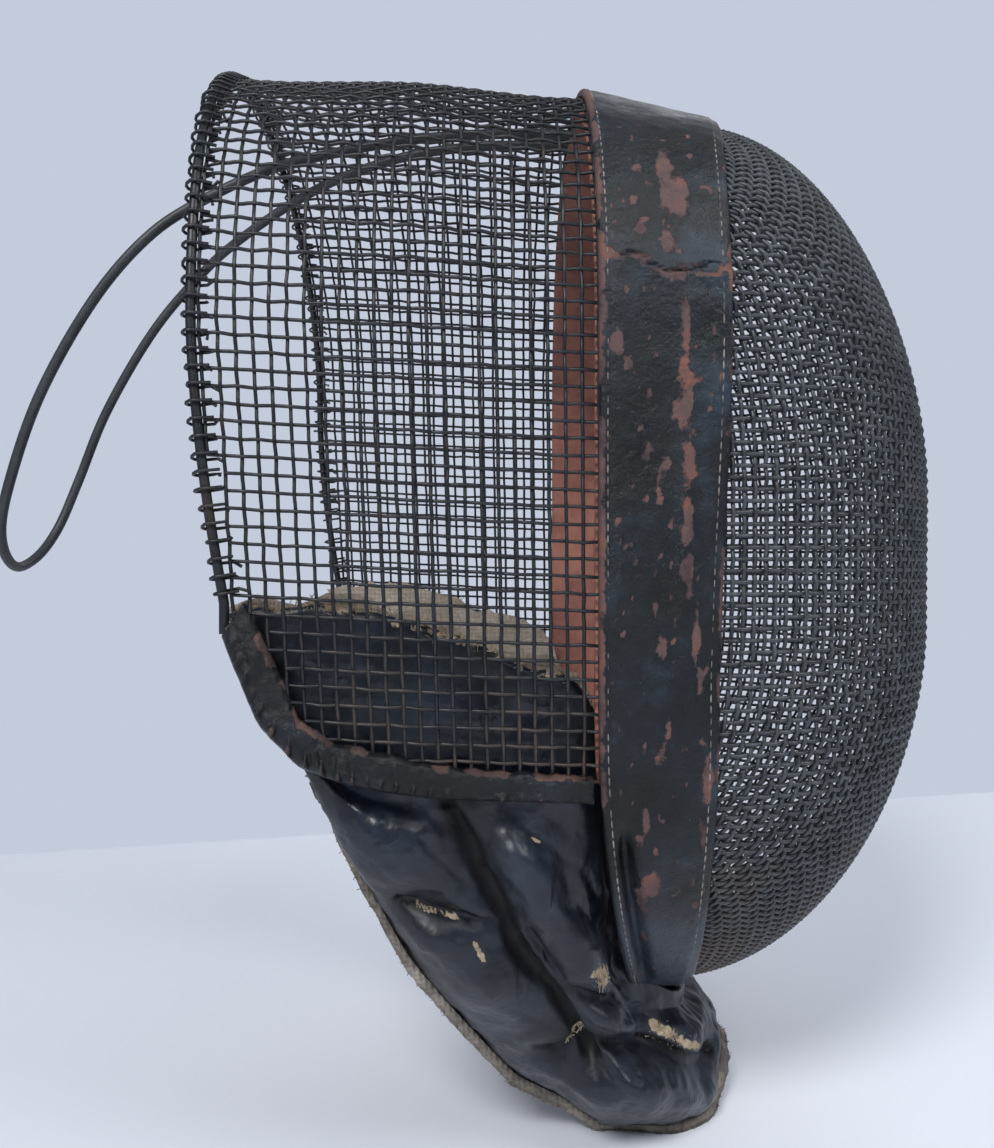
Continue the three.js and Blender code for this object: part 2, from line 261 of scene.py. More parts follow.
def newTree(name, inputs):
    tree = bpy.data.node_groups.new(name, "GeometryNodeTree")
    tree.interface.new_socket("Geometry", in_out="OUTPUT", socket_type="NodeSocketGeometry")
    for label, kind in {"Geometry": "Geometry", **inputs}.items():
        tree.interface.new_socket(label, in_out="INPUT", socket_type="NodeSocket" + kind)
    return tree, addNode(tree, "NodeGroupInput").outputs


def buildWireTree():  # round wire along every line of the source
    tree, given = newTree("wireAlongLines", {"Radius": "Float", "Sides": "Int", "Finish": "Material"})
    curve = addNode(tree, "GeometryNodeMeshToCurve", links={"Mesh": given["Geometry"]})
    ring = addNode(tree, "GeometryNodeCurvePrimitiveCircle",
                   links={"Radius": given["Radius"], "Resolution": given["Sides"]})
    tube = addNode(tree, "GeometryNodeCurveToMesh", {"Fill Caps": True},
                   {"Curve": curve, "Profile Curve": ring})
    soft = addNode(tree, "GeometryNodeSetShadeSmooth", links={"Geometry": tube})
    real = addNode(tree, "GeometryNodeRealizeInstances", links={"Geometry": soft})
    done = addNode(tree, "GeometryNodeSetMaterial",
                   links={"Geometry": real, "Material": given["Finish"]})
    addNode(tree, "NodeGroupOutput", links={0: done})
    return tree


def buildStitchTree():  # thread stitches laid end to end along the lines, some lost
    tree, given = newTree("stitchesAlongLines", {
        "Pitch": "Float", "Size": "Vector", "Kept": "Float", "Seed": "Int", "Finish": "Material"})
    curve = addNode(tree, "GeometryNodeMeshToCurve", links={"Mesh": given["Geometry"]})
    spaced = addNode(tree, "GeometryNodeResampleCurve", links={"Curve": curve}, mode="LENGTH")
    tree.links.new(given["Pitch"], spaced.inputs["Length"])
    tangent = addNode(tree, "GeometryNodeInputTangent")
    turned = addNode(tree, "FunctionNodeAlignRotationToVector", links={"Vector": tangent},
                     axis="X")
    bead = addNode(tree, "GeometryNodeMeshUVSphere", {"Segments": 6, "Rings": 4, "Radius": 0.5})
    kept = addNode(tree, "FunctionNodeRandomValue", data_type="BOOLEAN",
                   links={"Probability": given["Kept"], "Seed": given["Seed"]})
    each = addNode(tree, "GeometryNodeInstanceOnPoints", links={
        "Points": spaced, "Instance": bead, "Rotation": turned,
        "Scale": given["Size"], "Selection": kept.outputs[3]})
    real = addNode(tree, "GeometryNodeRealizeInstances", links={"Geometry": each})
    soft = addNode(tree, "GeometryNodeSetShadeSmooth", links={"Geometry": real})
    done = addNode(tree, "GeometryNodeSetMaterial",
                   links={"Geometry": soft, "Material": given["Finish"]})
    addNode(tree, "NodeGroupOutput", links={0: done})
    return tree


wireTree = buildWireTree()
stitchTree = buildStitchTree()


def wires(name, lines, radius, sides, finish):
    return runTree(name, linesObject(lines), wireTree,
                   {"Radius": radius / 1000, "Sides": sides, "Finish": finish})


studio = {
    "eye": (0.011, -0.354, 0.180), "lens": 31.23, "shiftX": 0.0061, "shiftY": -0.0122,
    "wall": "#c4ccdb", "wallStrength": 1.0, "roomLow": 0.32, "roomTop": 0.52, "floor": "#ebeff8",
    "joinY": 0.322, "joinSlope": 0.24,  # line on the floor past which the wall's colour begins
}


def setStudio():
    s = studio
    camera = bpy.data.objects.new("camera", bpy.data.cameras.new("camera"))
    camera.location = s["eye"]
    camera.rotation_euler = (math.radians(90), 0, 0)
    camera.data.lens, camera.data.sensor_width = s["lens"], 36
    camera.data.shift_x, camera.data.shift_y = s["shiftX"], s["shiftY"]
    camera.data.clip_start, camera.data.clip_end = 0.01, 20
    scene.collection.objects.link(camera)
    scene.camera = camera

    world = bpy.data.worlds.new("studio")  # a pale wall to look at, and a dimmer room, lighter overhead
    world.use_nodes = True
    tree, wall = world.node_tree, world.node_tree.nodes["Background"]
    wall.inputs["Color"].default_value = hexColour(s["wall"])
    wall.inputs["Strength"].default_value = s["wallStrength"]
    way = addNode(tree, "ShaderNodeSeparateXYZ",
                  links={0: addNode(tree, "ShaderNodeTexCoord").outputs["Generated"]})
    level = addNode(tree, "ShaderNodeMapRange", {1: 0.0, 2: 1.0, 3: s["roomLow"], 4: s["roomTop"]},
                    {0: way.outputs["Z"]})
    room = addNode(tree, "ShaderNodeBackground", {"Color": hexColour(s["wall"])},
                   {"Strength": level})
    seen = addNode(tree, "ShaderNodeLightPath")
    both = addNode(tree, "ShaderNodeMixShader", links={
        0: seen.outputs["Is Camera Ray"], 1: room, 2: wall})
    tree.links.new(both.outputs[0], tree.nodes["World Output"].inputs["Surface"])
    scene.world = world

    lamps = {  # place, aim, size across, power
        "keyLight": ((-0.4, -1.0, 1.1), (0.05, 0, 0.12), 0.45, 13.5),
        "frontLight": ((0.85, -0.5, 1.1), (0.1, 0, 0.05), 0.8, 7.5),
        "rearLight": ((0.2, 1.1, 0.9), (0, 0, 0.1), 0.9, 3),
    }
    for name, (place, aim, size, power) in lamps.items():
        data = bpy.data.lights.new(name, "AREA")
        data.shape, data.size, data.energy = "DISK", size, power
        lamp = bpy.data.objects.new(name, data)
        lamp.location = place
        lamp.rotation_euler = (Vector(aim) - Vector(place)).to_track_quat("-Z", "Y").to_euler()
        scene.collection.objects.link(lamp)

    material, tree, shader, place = newMaterial("paintedBoard")  # matt white board: soft shadows, no gloss
    shader.inputs["Base Color"].default_value = hexColour(s["floor"])
    shader.inputs["Roughness"].default_value = 0.9
    shader.inputs["Specular IOR Level"].default_value = 0.2
    spot = addNode(tree, "ShaderNodeSeparateXYZ", links={0: place})
    line = addNode(tree, "ShaderNodeMath", {1: s["joinSlope"]}, {0: spot.outputs["X"]}, operation="MULTIPLY")
    past = addNode(tree, "ShaderNodeMath", links={0: spot.outputs["Y"], 1: line},
                   operation="SUBTRACT")
    step = addNode(tree, "ShaderNodeMapRange", {1: s["joinY"] - 0.003, 2: s["joinY"] + 0.003},
                   {0: past})
    glow = addNode(tree, "ShaderNodeEmission",
                   {"Color": hexColour(s["wall"]), "Strength": s["wallStrength"]})
    both = addNode(tree, "ShaderNodeMixShader", links={
        0: step, 1: shader, 2: glow})
    tree.links.new(both.outputs[0], tree.nodes["Material Output"].inputs["Surface"])
    board = bpy.data.meshes.new("floor")
    side = 6
    board.from_pydata([(-side, -side, 0), (side, -side, 0), (side, side, 0), (-side, side, 0)], [],
                      [(0, 1, 2, 3)])
    makePiece("floor", board, material)


setStudio()
print("studio set")


def blackenedWire(name, dark, light, rust, rustTop):
    # Iron wire in old black paint: a dull dark grey with soft highlights and a brown bloom low down.
    material, tree, shader, place = newMaterial(name)
    tone = addNode(tree, "ShaderNodeTexNoise", {"Scale": 1000 / 6, "Detail": 4, "Roughness": 0.6},
                   {"Vector": place})
    paint = addNode(tree, "ShaderNodeValToRGB", links={0: tone},
                    stops=[(0.3, dark), (0.7, light)])
    patch = addNode(tree, "ShaderNodeTexNoise", {"Scale": 1000 / 22, "Detail": 6, "Roughness": 0.7},
                    {"Vector": place})
    height = addNode(tree, "ShaderNodeSeparateXYZ", links={0: place})
    low = addNode(tree, "ShaderNodeMapRange", {1: rustTop / 1000, 2: (rustTop - 60) / 1000, 3: 0, 4: 0.22},
                  {0: height.outputs["Z"]})
    both = addNode(tree, "ShaderNodeMath", links={0: patch, 1: low}, operation="ADD")
    share = addNode(tree, "ShaderNodeMapRange", {1: 0.58, 2: 0.8, 3: 0, 4: 0.75}, {0: both})
    colour = addNode(tree, "ShaderNodeMix", {7: hexColour(rust)},
                     {0: share, 6: paint}, data_type="RGBA")
    rough = addNode(tree, "ShaderNodeMapRange", {3: 0.28, 4: 0.58}, {0: patch})
    grit = addNode(tree, "ShaderNodeTexNoise", {"Scale": 1000 / 0.55, "Detail": 2}, {"Vector": place})
    bump = addNode(tree, "ShaderNodeBump", {"Strength": 0.35, "Distance": 0.0002},
                   {"Height": grit})
    link(tree, shader, {"Base Color": colour.outputs[2], "Roughness": rough, "Normal": bump})
    return material


def paintedLeather(name, paintTones, hideTones, sheenTone, shine):
    # Cowhide under black paint: cloudy semi-gloss, dented and scuffed; where the paint has gone, brown hide.
    # A painted grey-blue sheen is mixed over the paint by a share stored on the mesh.
    material, tree, shader, place = newMaterial(name)
    cloud = addNode(tree, "ShaderNodeTexNoise", {"Scale": 1000 / 26, "Detail": 9, "Roughness": 0.68},
                    {"Vector": place})
    paint = addNode(tree, "ShaderNodeValToRGB", links={0: cloud}, stops=paintTones)
    worn = addNode(tree, "ShaderNodeAttribute", attribute_name="wear")
    chips = addNode(tree, "ShaderNodeTexNoise", {"Scale": 1000 / 4.2, "Detail": 6, "Roughness": 0.68},
                    {"Vector": place})
    edge = addNode(tree, "ShaderNodeMath", {1: 0.9}, {0: chips}, operation="MULTIPLY")
    total = addNode(tree, "ShaderNodeMath", links={0: worn.outputs["Fac"], 1: edge},
                    operation="ADD")
    bare = addNode(tree, "ShaderNodeMapRange", {1: 0.73, 2: 0.81}, {0: total})
    hide = addNode(tree, "ShaderNodeTexNoise", {"Scale": 1000 / 13, "Detail": 8, "Roughness": 0.68},
                   {"Vector": place})
    raw = addNode(tree, "ShaderNodeValToRGB", links={0: hide}, stops=hideTones)
    # painted sheen: the paint mixed towards a pale grey-blue by the share stored on the mesh
    sheenShare = addNode(tree, "ShaderNodeAttribute", attribute_name="paintedSheen")
    paintedSheen = addNode(tree, "ShaderNodeMix", {7: hexColour(sheenTone)},
                   {0: sheenShare.outputs["Fac"], 6: paint}, data_type="RGBA")
    colour = addNode(tree, "ShaderNodeMix", links={
        0: bare, 6: paintedSheen.outputs[2], 7: raw}, data_type="RGBA")
    gloss = addNode(tree, "ShaderNodeTexNoise", {"Scale": 1000 / 15, "Detail": 7, "Roughness": 0.7},
                    {"Vector": place})
    rubbed = addNode(tree, "ShaderNodeMapRange", {1: 0.34, 2: 0.68, 3: shine[0], 4: shine[1]},
                     {0: gloss})
    rough = addNode(tree, "ShaderNodeMix", {3: 0.72}, {0: bare, 2: rubbed})
    grain = addNode(tree, "ShaderNodeTexVoronoi", {"Scale": 1000 / 1.1}, {"Vector": place})
    fine = addNode(tree, "ShaderNodeBump", {"Strength": 0.22, "Distance": 0.0003},
                   {"Height": grain.outputs["Distance"]})
    dents = addNode(tree, "ShaderNodeBump", {"Strength": 0.75, "Distance": 0.003},
                    {"Height": cloud, "Normal": fine})
    scuffs = addNode(tree, "ShaderNodeBump", {"Strength": 0.55, "Distance": 0.0007},
                     {"Height": chips, "Normal": dents})
    step = addNode(tree, "ShaderNodeBump", {"Strength": 0.7, "Distance": 0.0005},
                   {"Height": bare, "Normal": scuffs}, invert=True)
    shader.inputs["Specular IOR Level"].default_value = 0.38
    link(tree, shader, {"Base Color": colour.outputs[2], "Roughness": rough, "Normal": step})
    return material


def rawHide(name, tones):
    # Flesh side of the hide: matt red-brown with a short nap, darkened towards the top as painted shade.
    material, tree, shader, place = newMaterial(name)
    cloud = addNode(tree, "ShaderNodeTexNoise", {"Scale": 1000 / 24, "Detail": 8, "Roughness": 0.7},
                    {"Vector": place})
    tone = addNode(tree, "ShaderNodeValToRGB", links={0: cloud}, stops=tones)
    height = addNode(tree, "ShaderNodeSeparateXYZ", links={0: place})
    # painted shade: the hide mixed 45 % towards black above 310 mm, fading in from 180 mm
    upperShade = addNode(tree, "ShaderNodeMapRange", {1: 0.18, 2: 0.31, 3: 1.0, 4: 0.55},
                     {0: height.outputs["Z"]})
    shadedHide = addNode(tree, "ShaderNodeMix", {6: (0, 0, 0, 1)}, {0: upperShade, 7: tone},
                     data_type="RGBA")
    nap = addNode(tree, "ShaderNodeTexNoise", {"Scale": 1000 / 0.8, "Detail": 3}, {"Vector": place})
    bump = addNode(tree, "ShaderNodeBump", {"Strength": 0.5, "Distance": 0.0004},
                   {"Height": nap})
    shader.inputs["Roughness"].default_value = 0.82
    link(tree, shader, {"Base Color": shadedHide.outputs[2], "Normal": bump})
    return material


def oiledLeather(name):
    # Black oiled leather over wadding: blue-black, glossy on the swells, matt and cracked in the folds, with
    # painted shade darkening the folds nearly to black.
    material, tree, shader, place = newMaterial(name)
    cloud = addNode(tree, "ShaderNodeTexNoise", {"Scale": 1000 / 30, "Detail": 9, "Roughness": 0.66},
                    {"Vector": place})
    skin = addNode(tree, "ShaderNodeValToRGB", links={0: cloud},
                   stops=[(0.3, "#05080d"), (0.5, "#101722"), (0.7, "#253141")])
    foldShade = addNode(tree, "ShaderNodeAttribute", attribute_name="foldShade")
    # painted shade: the skin mixed towards near-black deep in the folds
    foldShaded = addNode(tree, "ShaderNodeMix", {7: hexColour("#020305")},
                    {0: foldShade.outputs["Fac"], 6: skin}, data_type="RGBA")
    torn = addNode(tree, "ShaderNodeAttribute", attribute_name="torn")
    chips = addNode(tree, "ShaderNodeTexNoise", {"Scale": 1000 / 2.4, "Detail": 5, "Roughness": 0.7},
                    {"Vector": place})
    total = addNode(tree, "ShaderNodeMath", links={0: torn.outputs["Fac"], 1: chips},
                    operation="ADD")
    bare = addNode(tree, "ShaderNodeMapRange", {1: 0.86, 2: 0.93}, {0: total})
    fluff = addNode(tree, "ShaderNodeValToRGB", links={0: chips},
                    stops=[(0.3, "#6f5f4d"), (0.7, "#c0ae94")])
    colour = addNode(tree, "ShaderNodeMix", links={
        0: bare, 6: foldShaded.outputs[2], 7: fluff}, data_type="RGBA")
    gloss = addNode(tree, "ShaderNodeTexNoise", {"Scale": 1000 / 18, "Detail": 7, "Roughness": 0.68},
                    {"Vector": place})
    shine = addNode(tree, "ShaderNodeMapRange", {1: 0.36, 2: 0.66, 3: 0.26, 4: 0.5}, {0: gloss})
    dull = addNode(tree, "ShaderNodeMix", {3: 0.75}, {0: foldShade.outputs["Fac"], 2: shine})
    rough = addNode(tree, "ShaderNodeMix", {3: 0.9}, {0: bare, 2: dull})
    grain = addNode(tree, "ShaderNodeTexVoronoi", {"Scale": 1000 / 1.3}, {"Vector": place})
    fine = addNode(tree, "ShaderNodeBump", {"Strength": 0.2, "Distance": 0.0002},
                   {"Height": grain.outputs["Distance"]})
    crease = addNode(tree, "ShaderNodeTexNoise", {"Scale": 1000 / 13, "Detail": 3, "Roughness": 0.5,
                                                  "Distortion": 0.2}, {"Vector": place})
    wrinkled = addNode(tree, "ShaderNodeBump", {"Strength": 0.6, "Distance": 0.0022},
                       {"Height": crease, "Normal": fine})
    link(tree, shader, {"Base Color": colour.outputs[2], "Roughness": rough, "Normal": wrinkled})
    return material


def canvas(name, dark, light, threadPitch=0.9):
    # Undyed linen canvas gone grey-tan with use: matt, with a plain weave drawn a little coarse so it shows.
    material, tree, shader, place = newMaterial(name)
    cloud = addNode(tree, "ShaderNodeTexNoise", {"Scale": 1000 / 16.67, "Detail": 8, "Roughness": 0.7},
                    {"Vector": place})
    tone = addNode(tree, "ShaderNodeValToRGB", links={0: cloud},
                   stops=[(0.32, dark), (0.68, light)])
    warp, weft = (addNode(tree, "ShaderNodeTexWave", {"Scale": 1000 / threadPitch / 6, "Distortion": 1.5},
                          {"Vector": place}, bands_direction=way) for way in "XZ")
    weave = addNode(tree, "ShaderNodeMath", links={0: warp.outputs["Fac"], 1: weft.outputs["Fac"]},
                    operation="ADD")
    bump = addNode(tree, "ShaderNodeBump", {"Strength": 0.5, "Distance": 0.0004},
                   {"Height": weave})
    shader.inputs["Roughness"].default_value = 0.95
    link(tree, shader, {"Base Color": tone, "Normal": bump})
    return material


def rubberTubing(name):
    # Black rubber sleeve: satin, dusty grey with age, with faint lengthwise scuffs.
    material, tree, shader, place = newMaterial(name)
    dust = addNode(tree, "ShaderNodeTexNoise", {"Scale": 1000 / 14.29, "Detail": 6, "Roughness": 0.65},
                   {"Vector": place})
    tone = addNode(tree, "ShaderNodeValToRGB", links={0: dust},
                   stops=[(0.3, "#1f2327"), (0.75, "#3a3f44")])
    bump = addNode(tree, "ShaderNodeBump", {"Strength": 0.3, "Distance": 0.0004},
                   {"Height": dust})
    shader.inputs["Roughness"].default_value = 0.5
    link(tree, shader, {"Base Color": tone, "Normal": bump})
    return material


def waxedThread(name):
    # Waxed linen thread, grey with dirt.
    material, tree, shader, place = newMaterial(name)
    dirt = addNode(tree, "ShaderNodeTexNoise", {"Scale": 1000 / 8.33, "Detail": 4}, {"Vector": place})
    tone = addNode(tree, "ShaderNodeValToRGB", links={0: dirt},
                   stops=[(0.35, "#4f4a46"), (0.66, "#9b948c")])
    shader.inputs["Roughness"].default_value = 0.8
    link(tree, shader, {"Base Color": tone})
    return material


bowlWire = blackenedWire("blackenedWireBowl", "#1d2125", "#494e53", "#4d413a", 110)
sideWire = blackenedWire("blackenedWireSides", "#07090d", "#1d2228", "#4a3d34", 178)
# the greys #3a424c and #3a3f45 are the colours of the painted sheen
blackLeather = paintedLeather(
    "paintedCowhide", [(0.37, "#020407"), (0.52, "#0b1219"), (0.66, "#26323d")],
    [(0.34, "#3b2d2f"), (0.5, "#5b4745"), (0.62, "#6f4b42"), (0.74, "#875a49")], "#3a424c", (0.24, 0.56))
trimLeather = paintedLeather(
    "greasedCowhide", [(0.3, "#020305"), (0.5, "#070b10"), (0.74, "#1a2129")],
    [(0.34, "#2c2324"), (0.52, "#463634"), (0.72, "#6e5448")], "#3a3f45", (0.3, 0.6))
redHide = rawHide("rawCowhide", [(0.3, "#82504a"), (0.7, "#c58975")])
bibSkin = oiledLeather("oiledLeather")
linen = canvas("linenCanvas", "#7b7165", "#b5aa9c")
soiledLinen = canvas("soiledCanvas", "#4a443e", "#a39b90")
fluffWool = canvas("cottonWadding", "#8a7a66", "#c4b49c")
tubing = rubberTubing("rubberTubing")
thread = waxedThread("waxedThread")
print("finishes made")

# The front bowl is one flat net of wire pressed into shape, so its squares shear towards the corners.
bowlNet = {"rows": 75, "pitch": 3.1, "wire": 1.22, "crimp": 0.55, "sides": 5, "underBand": 5.5}


def bowlField(points, table):  # zero on the bowl's surface, with its gradient
    def level(p):
        radius = np.hypot(p[:, 1], p[:, 2] - maskForm["noseZ"])
        turn = np.arctan2(np.abs(p[:, 1]), p[:, 2] - maskForm["noseZ"])
        across = radius / np.interp(turn, table[0], table[1])
        edgeX = np.interp(turn, table[0], table[2])
        ahead = (p[:, 0] - edgeX) / (maskForm["noseX"] - edgeX)
        angle = math.radians(maskForm["edgeAngle"])
        cosine, sine = math.cos(angle), math.sin(angle)
        return (ahead * (1 - cosine) + cosine) ** 2 + (across * sine) ** 2 - 1, ahead
    value, ahead = level(points)
    step = 1e-3
    slope = np.stack([(level(points + step * axis)[0] - level(points - step * axis)[0]) / (2 * step)
                      for axis in np.eye(3)], -1)
    return value, slope, ahead


def solveNet(table, upward, reach):
    # Each knot lies one pitch from the knots before it along both wires, and on the bowl.
    pitch, size = bowlNet["pitch"], bowlNet["rows"]
    net = np.full((size, size, 3), np.nan)
    net[0, 0] = (maskForm["noseX"], 0, maskForm["noseZ"])
    for axis in (0, 1):
        heading = np.array([0.0, 0, upward]) if axis == 0 else np.array([0.0, 1, 0])
        point = net[0, 0].copy()
        for k in range(1, size):
            guess = point + heading * pitch
            for _ in range(8):
                value, slope, ahead = bowlField(guess[None], table)
                flat = np.array([0.0, 1, 0]) if axis == 0 else np.array([0.0, 0, 1])
                rows = np.stack([slope[0], (guess - point) / pitch, flat])
                short = np.array([value[0], (np.sum((guess - point) ** 2) - pitch ** 2) / (2 * pitch),
                                  (guess - net[0, 0]) @ flat])
                guess = guess - np.linalg.solve(rows, short)
            if ahead[0] < reach:
                break
            heading = unit(guess - point)
            point = guess
            net[(k, 0) if axis == 0 else (0, k)] = point
    for diagonal in range(2, 2 * size - 1):
        i = np.arange(max(1, diagonal - size + 1), min(size, diagonal))
        j = diagonal - i
        first, second, corner = net[i - 1, j], net[i, j - 1], net[i - 1, j - 1]
        known = ~np.isnan(first[:, 0] + second[:, 0] + corner[:, 0])
        if not known.any():
            break
        i, j, first, second, corner = i[known], j[known], first[known], second[known], corner[known]
        guess = first + second - corner
        for _ in range(10):
            value, slope, ahead = bowlField(guess, table)
            a, b = (guess - first) / pitch, (guess - second) / pitch
            rows = np.stack([slope, a, b], 1)
            tooLong = [(np.sum(side * side, 1) - 1) * pitch / 2 for side in (a, b)]
            short = np.stack([value, *tooLong], 1)
            rows = rows + 1e-9 * np.eye(3)
            change = np.linalg.solve(rows, short[..., None])[..., 0]
            length = np.linalg.norm(change, axis=1, keepdims=True)
            guess = guess - change * np.minimum(1, 1.5 / np.maximum(length, 1e-9))
        value, slope, ahead = bowlField(guess, table)
        apart = np.linalg.norm(guess - corner, axis=1) > 0.4 * pitch
        good = (np.abs(value) < 1e-3) & (ahead > reach) & apart
        net[i[good], j[good]] = guess[good]
    return net


def bowlKnots():
    v = np.linspace(0.5, 1, 801)
    edge = bowlEdge(v)
    turn = np.arctan2(np.abs(edge[:, 1]), edge[:, 2] - maskForm["noseZ"])
    turn[0], turn[-1] = 0, np.pi
    table = turn, np.hypot(edge[:, 1], edge[:, 2] - maskForm["noseZ"]), edge[:, 0]
    reach = -bowlNet["underBand"] / (maskForm["noseX"] - bandFront["side"])
    upper, lower = solveNet(table, 1, reach), solveNet(table, -1, reach)
    half = np.concatenate([lower[:0:-1], upper])
    whole = np.concatenate([half[:, :0:-1] * (1, -1, 1), half], 1)
    flat = whole.reshape(-1, 3)
    normals = np.full_like(flat, np.nan)
    real = ~np.isnan(flat[:, 0])
    normals[real] = unit(bowlField(flat[real], table)[1])
    return whole, normals.reshape(whole.shape)


def crimped(knots, normals, signs, crimp, between):  # a wire that passes over and under at its knots
    count = len(knots)
    place = np.linspace(0, count - 1, (count - 1) * between + 1)
    low = np.minimum(place.astype(int), count - 2)
    share = (place - low)[:, None]
    middle = mix(knots[low], knots[low + 1], share)
    normal = unit(mix(normals[low], normals[low + 1], share))
    wave = np.cos(np.pi * share[:, 0]) * signs[low]
    return middle + normal * (crimp * wave)[:, None]


def netLines(knots, normals, axis, sign, crimp, between):
    if axis:
        knots, normals = knots.transpose(1, 0, 2), normals.transpose(1, 0, 2)
    lines = []
    for row in range(len(knots)):
        real = np.flatnonzero(~np.isnan(knots[row, :, 0]))
        if not len(real):
            continue
        for run in np.split(real, np.flatnonzero(np.diff(real) > 1) + 1):
            if len(run) > 2:
                signs = np.where((row + run) % 2 == 0, sign, -sign)
                lines.append(crimped(knots[row, run], normals[row, run], signs, crimp, between))
    return lines


def frontBowl():
    knots, normals = bowlKnots()
    print("bowl knots", int(np.sum(~np.isnan(knots[..., 0]))))
    for name, axis, sign in (("front_mesh_cross_wires", 0, 1), ("front_mesh_upright_wires", 1, -1)):
        lines = netLines(knots, normals, axis, sign, bowlNet["crimp"], 2)
        piece = wires(name, lines, bowlNet["wire"] / 2, bowlNet["sides"], bowlWire)
        standIn(piece, "front_mesh")


frontBowl()
print("front bowl woven")

# The side mesh is a coarser net bent over the head in one piece, with its rim at the back.
sideNet = {"pitch": 4.5, "wire": 1.02, "crimp": 0.36, "sides": 6, "lean": 0.06, "crownLean": 5,
           "firstFromRim": 2.0, "uprights": 25, "droop": 0.055, "underTrim": 3, "unevenness": 0.11,
           "rows": 60, "length": 113}
trimStations = [  # x and z of the upper edge, x and z of the lower edge
    (38, 123, 38, 115.6), (0.6, 126, -2, 117.5), (-12.4, 129, -15, 119.5), (-29.5, 133, -28, 122.5),
    (-38.5, 139, -38.5, 126.5), (-42, 148, -49, 138), (-52, 169, -58, 160)]
crownArc = maskForm["archRadius"] * np.pi / 2  # mm from the arch's start to the crown
rim = {"wire": 2.7, "sides": 12, "points": 90, "loopWire": 0.9, "loopSides": 6, "reach": 2.35, "burr": 5.6,
       "pastFoot": 8}


def trimTop(x):
    rows = np.array(trimStations)[::-1]
    return np.interp(x, rows[:, 0], rows[:, 1])


def sideFrom(x, arc):  # arc: mm up round the mask from the arch's start, at the crown 1/4 turn
    halfWidth, crown = sideSizeAt(x)
    turn = np.clip(arc / maskForm["archRadius"], 0, np.pi)
    side = np.minimum(arc, 0)
    z = maskForm["archCentreZ"] + side + crown * np.sin(turn)
    return np.stack([x, halfWidth * np.cos(turn) * drawnIn(z), z], -1)


def sideNormals(points):
    over = np.maximum(points[..., 2] - maskForm["archCentreZ"], 0)
    under = np.minimum(points[..., 2] - maskForm["sideLowZ"], 0) * 0.9
    return unit(np.stack([0 * over, points[..., 1], over + under], -1))


def rimX(arc):
    turn = np.clip(arc / maskForm["archRadius"], 0, np.pi / 2)
    foot = maskForm["archCentreZ"] - maskForm["rimFootZ"]
    share = np.clip(1 + np.minimum(arc, 0) / foot, 0, 1)
    low = mix(maskForm["rimFootX"], maskForm["rimSideX"], 1 - (1 - share) ** 1.6)
    return np.where(arc > 0, mix(maskForm["rimSideX"], maskForm["rimCrownX"], np.sin(turn) ** 2), low)


def sideKnots(random):
    n = sideNet
    rows = n["rows"]
    arcs = crownArc - n["pitch"] * np.arange(rows)  # from the crown down one side
    fromRim = n["firstFromRim"] + n["pitch"] * np.arange(n["uprights"])
    rear = 1 - fromRim / n["length"]
    knots = np.full((2 * rows - 1, n["uprights"], 3), np.nan)
    for row, arc in enumerate(arcs):
        turn = np.clip(arc / maskForm["archRadius"], 0, np.pi / 2)
        x = maskForm["rimSideX"] + fromRim
        x = x - n["crownLean"] * rear * np.sin(turn) ** 2 - n["lean"] * rear * np.minimum(arc, 0)
        droop = (n["droop"] * fromRim - 1e-4 * fromRim ** 2) * np.cos(turn)
        for sign in (-1, 1):
            wander = random.normal(0, n["unevenness"], (2, n["uprights"]))
            along = arc - droop + wander[0]
            at = sideFrom(x + wander[1] * 0.7, np.minimum(along, crownArc))
            keep = (at[:, 2] > trimTop(at[:, 0]) - n["underTrim"]) & (at[:, 0] > rimX(along) + 1.3)
            knots[rows - 1 + sign * row] = np.where(keep[:, None], at * (1, sign, 1), np.nan)
    return knots


def rimPoint(arc, sign):
    x = rimX(np.asarray(arc, float))
    at = sideFrom(x, np.asarray(arc, float))
    return at * (1, sign, 1)


def rimLoop(row, random, sign):  # from the last upright, out round the rim and back to a cut end
    arc = crownArc - sideNet["pitch"] * row
    centre = rimPoint(arc, sign)
    out = sideNormals(centre)
    up = unit(rimPoint(arc + 1, sign) - rimPoint(arc - 1, sign))
    back = unit(np.cross(out, up))
    if back[0] > 0:
        back = -back
    reach = rim["reach"] + random.normal(0, 0.25)
    burr = rim["burr"] + random.normal(0, 1.1)
    drop = random.normal(-0.9, 0.5)
    curl = random.normal(0, 0.8)
    steps = [  # mm backwards, outwards and up from the rim wire's middle
        (-4.5, 0.5, 0), (-2.4, 1.2, 0), (-0.6, 1.95, 0), (1.0, 1.75, 0.1), (reach * 0.86, 0.9, 0.3 * drop),
        (reach, 0, 0.5 * drop), (reach * 0.86, -0.9, 0.7 * drop), (1.0, -1.75, drop), (-0.6, -1.85, drop),
        (-2.4, -1.1, 1.1 * drop), (-4.2, -0.5, 1.2 * drop), (-burr, -0.3 + curl * 0.4, 1.2 * drop + curl)]
    return np.array([centre + back * a + out * b + up * c for a, b, c in steps])


